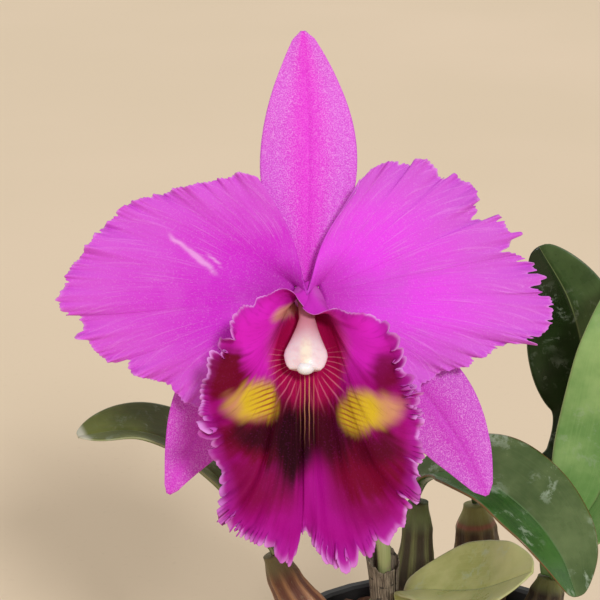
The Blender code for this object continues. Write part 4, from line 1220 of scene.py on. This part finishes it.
# Groove (painted shade between the ridges, also a tone of the streaks), ridge, neck, dry skin
BULB_TONES = {
    "pseudobulb_lead": ((70, 48, 34), (120, 92, 60), (130, 122, 70), (150, 130, 104)),
    "pseudobulb_left": ((104, 56, 38), (166, 118, 78), (112, 100, 60), (132, 108, 84)),
    "pseudobulb_middle": ((52, 44, 26), (104, 106, 62), (96, 106, 58), (84, 68, 52)),
    "pseudobulb_right": ((70, 48, 30), (118, 96, 58), (150, 146, 84), (96, 66, 56)),
    "pseudobulb_far_right": ((50, 38, 26), (92, 78, 48), (120, 124, 66), (90, 74, 58)),
}


def make_flower():
    for name, tones in SEPAL_TONES.items():
        make_sepal(name, sepal_look(name, *tones))
    for name, (margin, fingers, side_sign, phase, *tones) in PETALS.items():
        make_petal(name, margin, fingers, side_sign, phase, petal_look(name, *tones))
    make_lip(lip_look())
    make_column(waxy_look("column", (222, 150, 168), (244, 222, 226), (252, 240, 214)))
    make_cap(waxy_look("anther_cap", (236, 226, 232), (248, 244, 246), (248, 244, 246)))


def make_green():
    for name, tones in LEAF_TONES.items():
        make_leaf(name, leaf_look(name, *tones))
    for seed, (name, tones) in enumerate(BULB_TONES.items()):
        make_bulb(name, bulb_look(name, *tones), 70 + seed)
    make_stem(stem_look((150, 156, 104), (178, 176, 128), (150, 120, 112)))
    make_sheath(papery_look())


def dress_frame():
    """Materials for the CAD nodes that stay in view."""
    looks = {
        "pot": pot_look(),
        "bark_medium": bark_look("bark_medium", (104, 66, 42)),
        "rhizome": bark_look("rhizome", (116, 96, 60)),
    }
    for name, mat in looks.items():
        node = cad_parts[name]
        node.data.materials.clear()
        node.data.materials.append(mat)
    make_chips(bark_look("bark_chips", (120, 76, 46)))


def add_floor():
    bpy.ops.mesh.primitive_plane_add(size=14.0, location=(0, 3, 0))
    floor = bpy.context.object
    floor.name = "floor"
    floor.data.materials.append(floor_look())


def add_light_and_camera():
    scene = bpy.context.scene
    scene.view_settings.view_transform = "Standard"
    scene.world = bpy.data.worlds.new("studio")
    scene.world.use_nodes = True
    background = scene.world.node_tree.nodes["Background"]
    background.inputs["Color"].default_value = (1.0, 0.97, 0.92, 1.0)
    background.inputs["Strength"].default_value = 0.55
    sun = bpy.data.objects.new("key", bpy.data.lights.new("key", "SUN"))
    sun.data.energy = 1.6
    sun.data.angle = math.radians(9)
    sun.rotation_euler = Vector(SUN_FROM).to_track_quat("Z", "Y").to_euler()
    scene.collection.objects.link(sun)
    camera = bpy.data.objects.new("camera", bpy.data.cameras.new("camera"))
    target = Vector(LOOK_AT) * MM
    back = Vector((0, -math.cos(VIEW_RISE), math.sin(VIEW_RISE)))
    camera.location = target + back * VIEW_DISTANCE * MM
    camera.rotation_euler = (target - camera.location).to_track_quat("-Z", "Y").to_euler()
    camera.data.sensor_width = SENSOR_WIDTH
    camera.data.lens = SENSOR_WIDTH * VIEW_DISTANCE / (PHOTO_WIDTH * VIEW_SCALE)
    scene.collection.objects.link(camera)
    scene.camera = camera


make_flower()
make_green()
dress_frame()
add_floor()
add_light_and_camera()
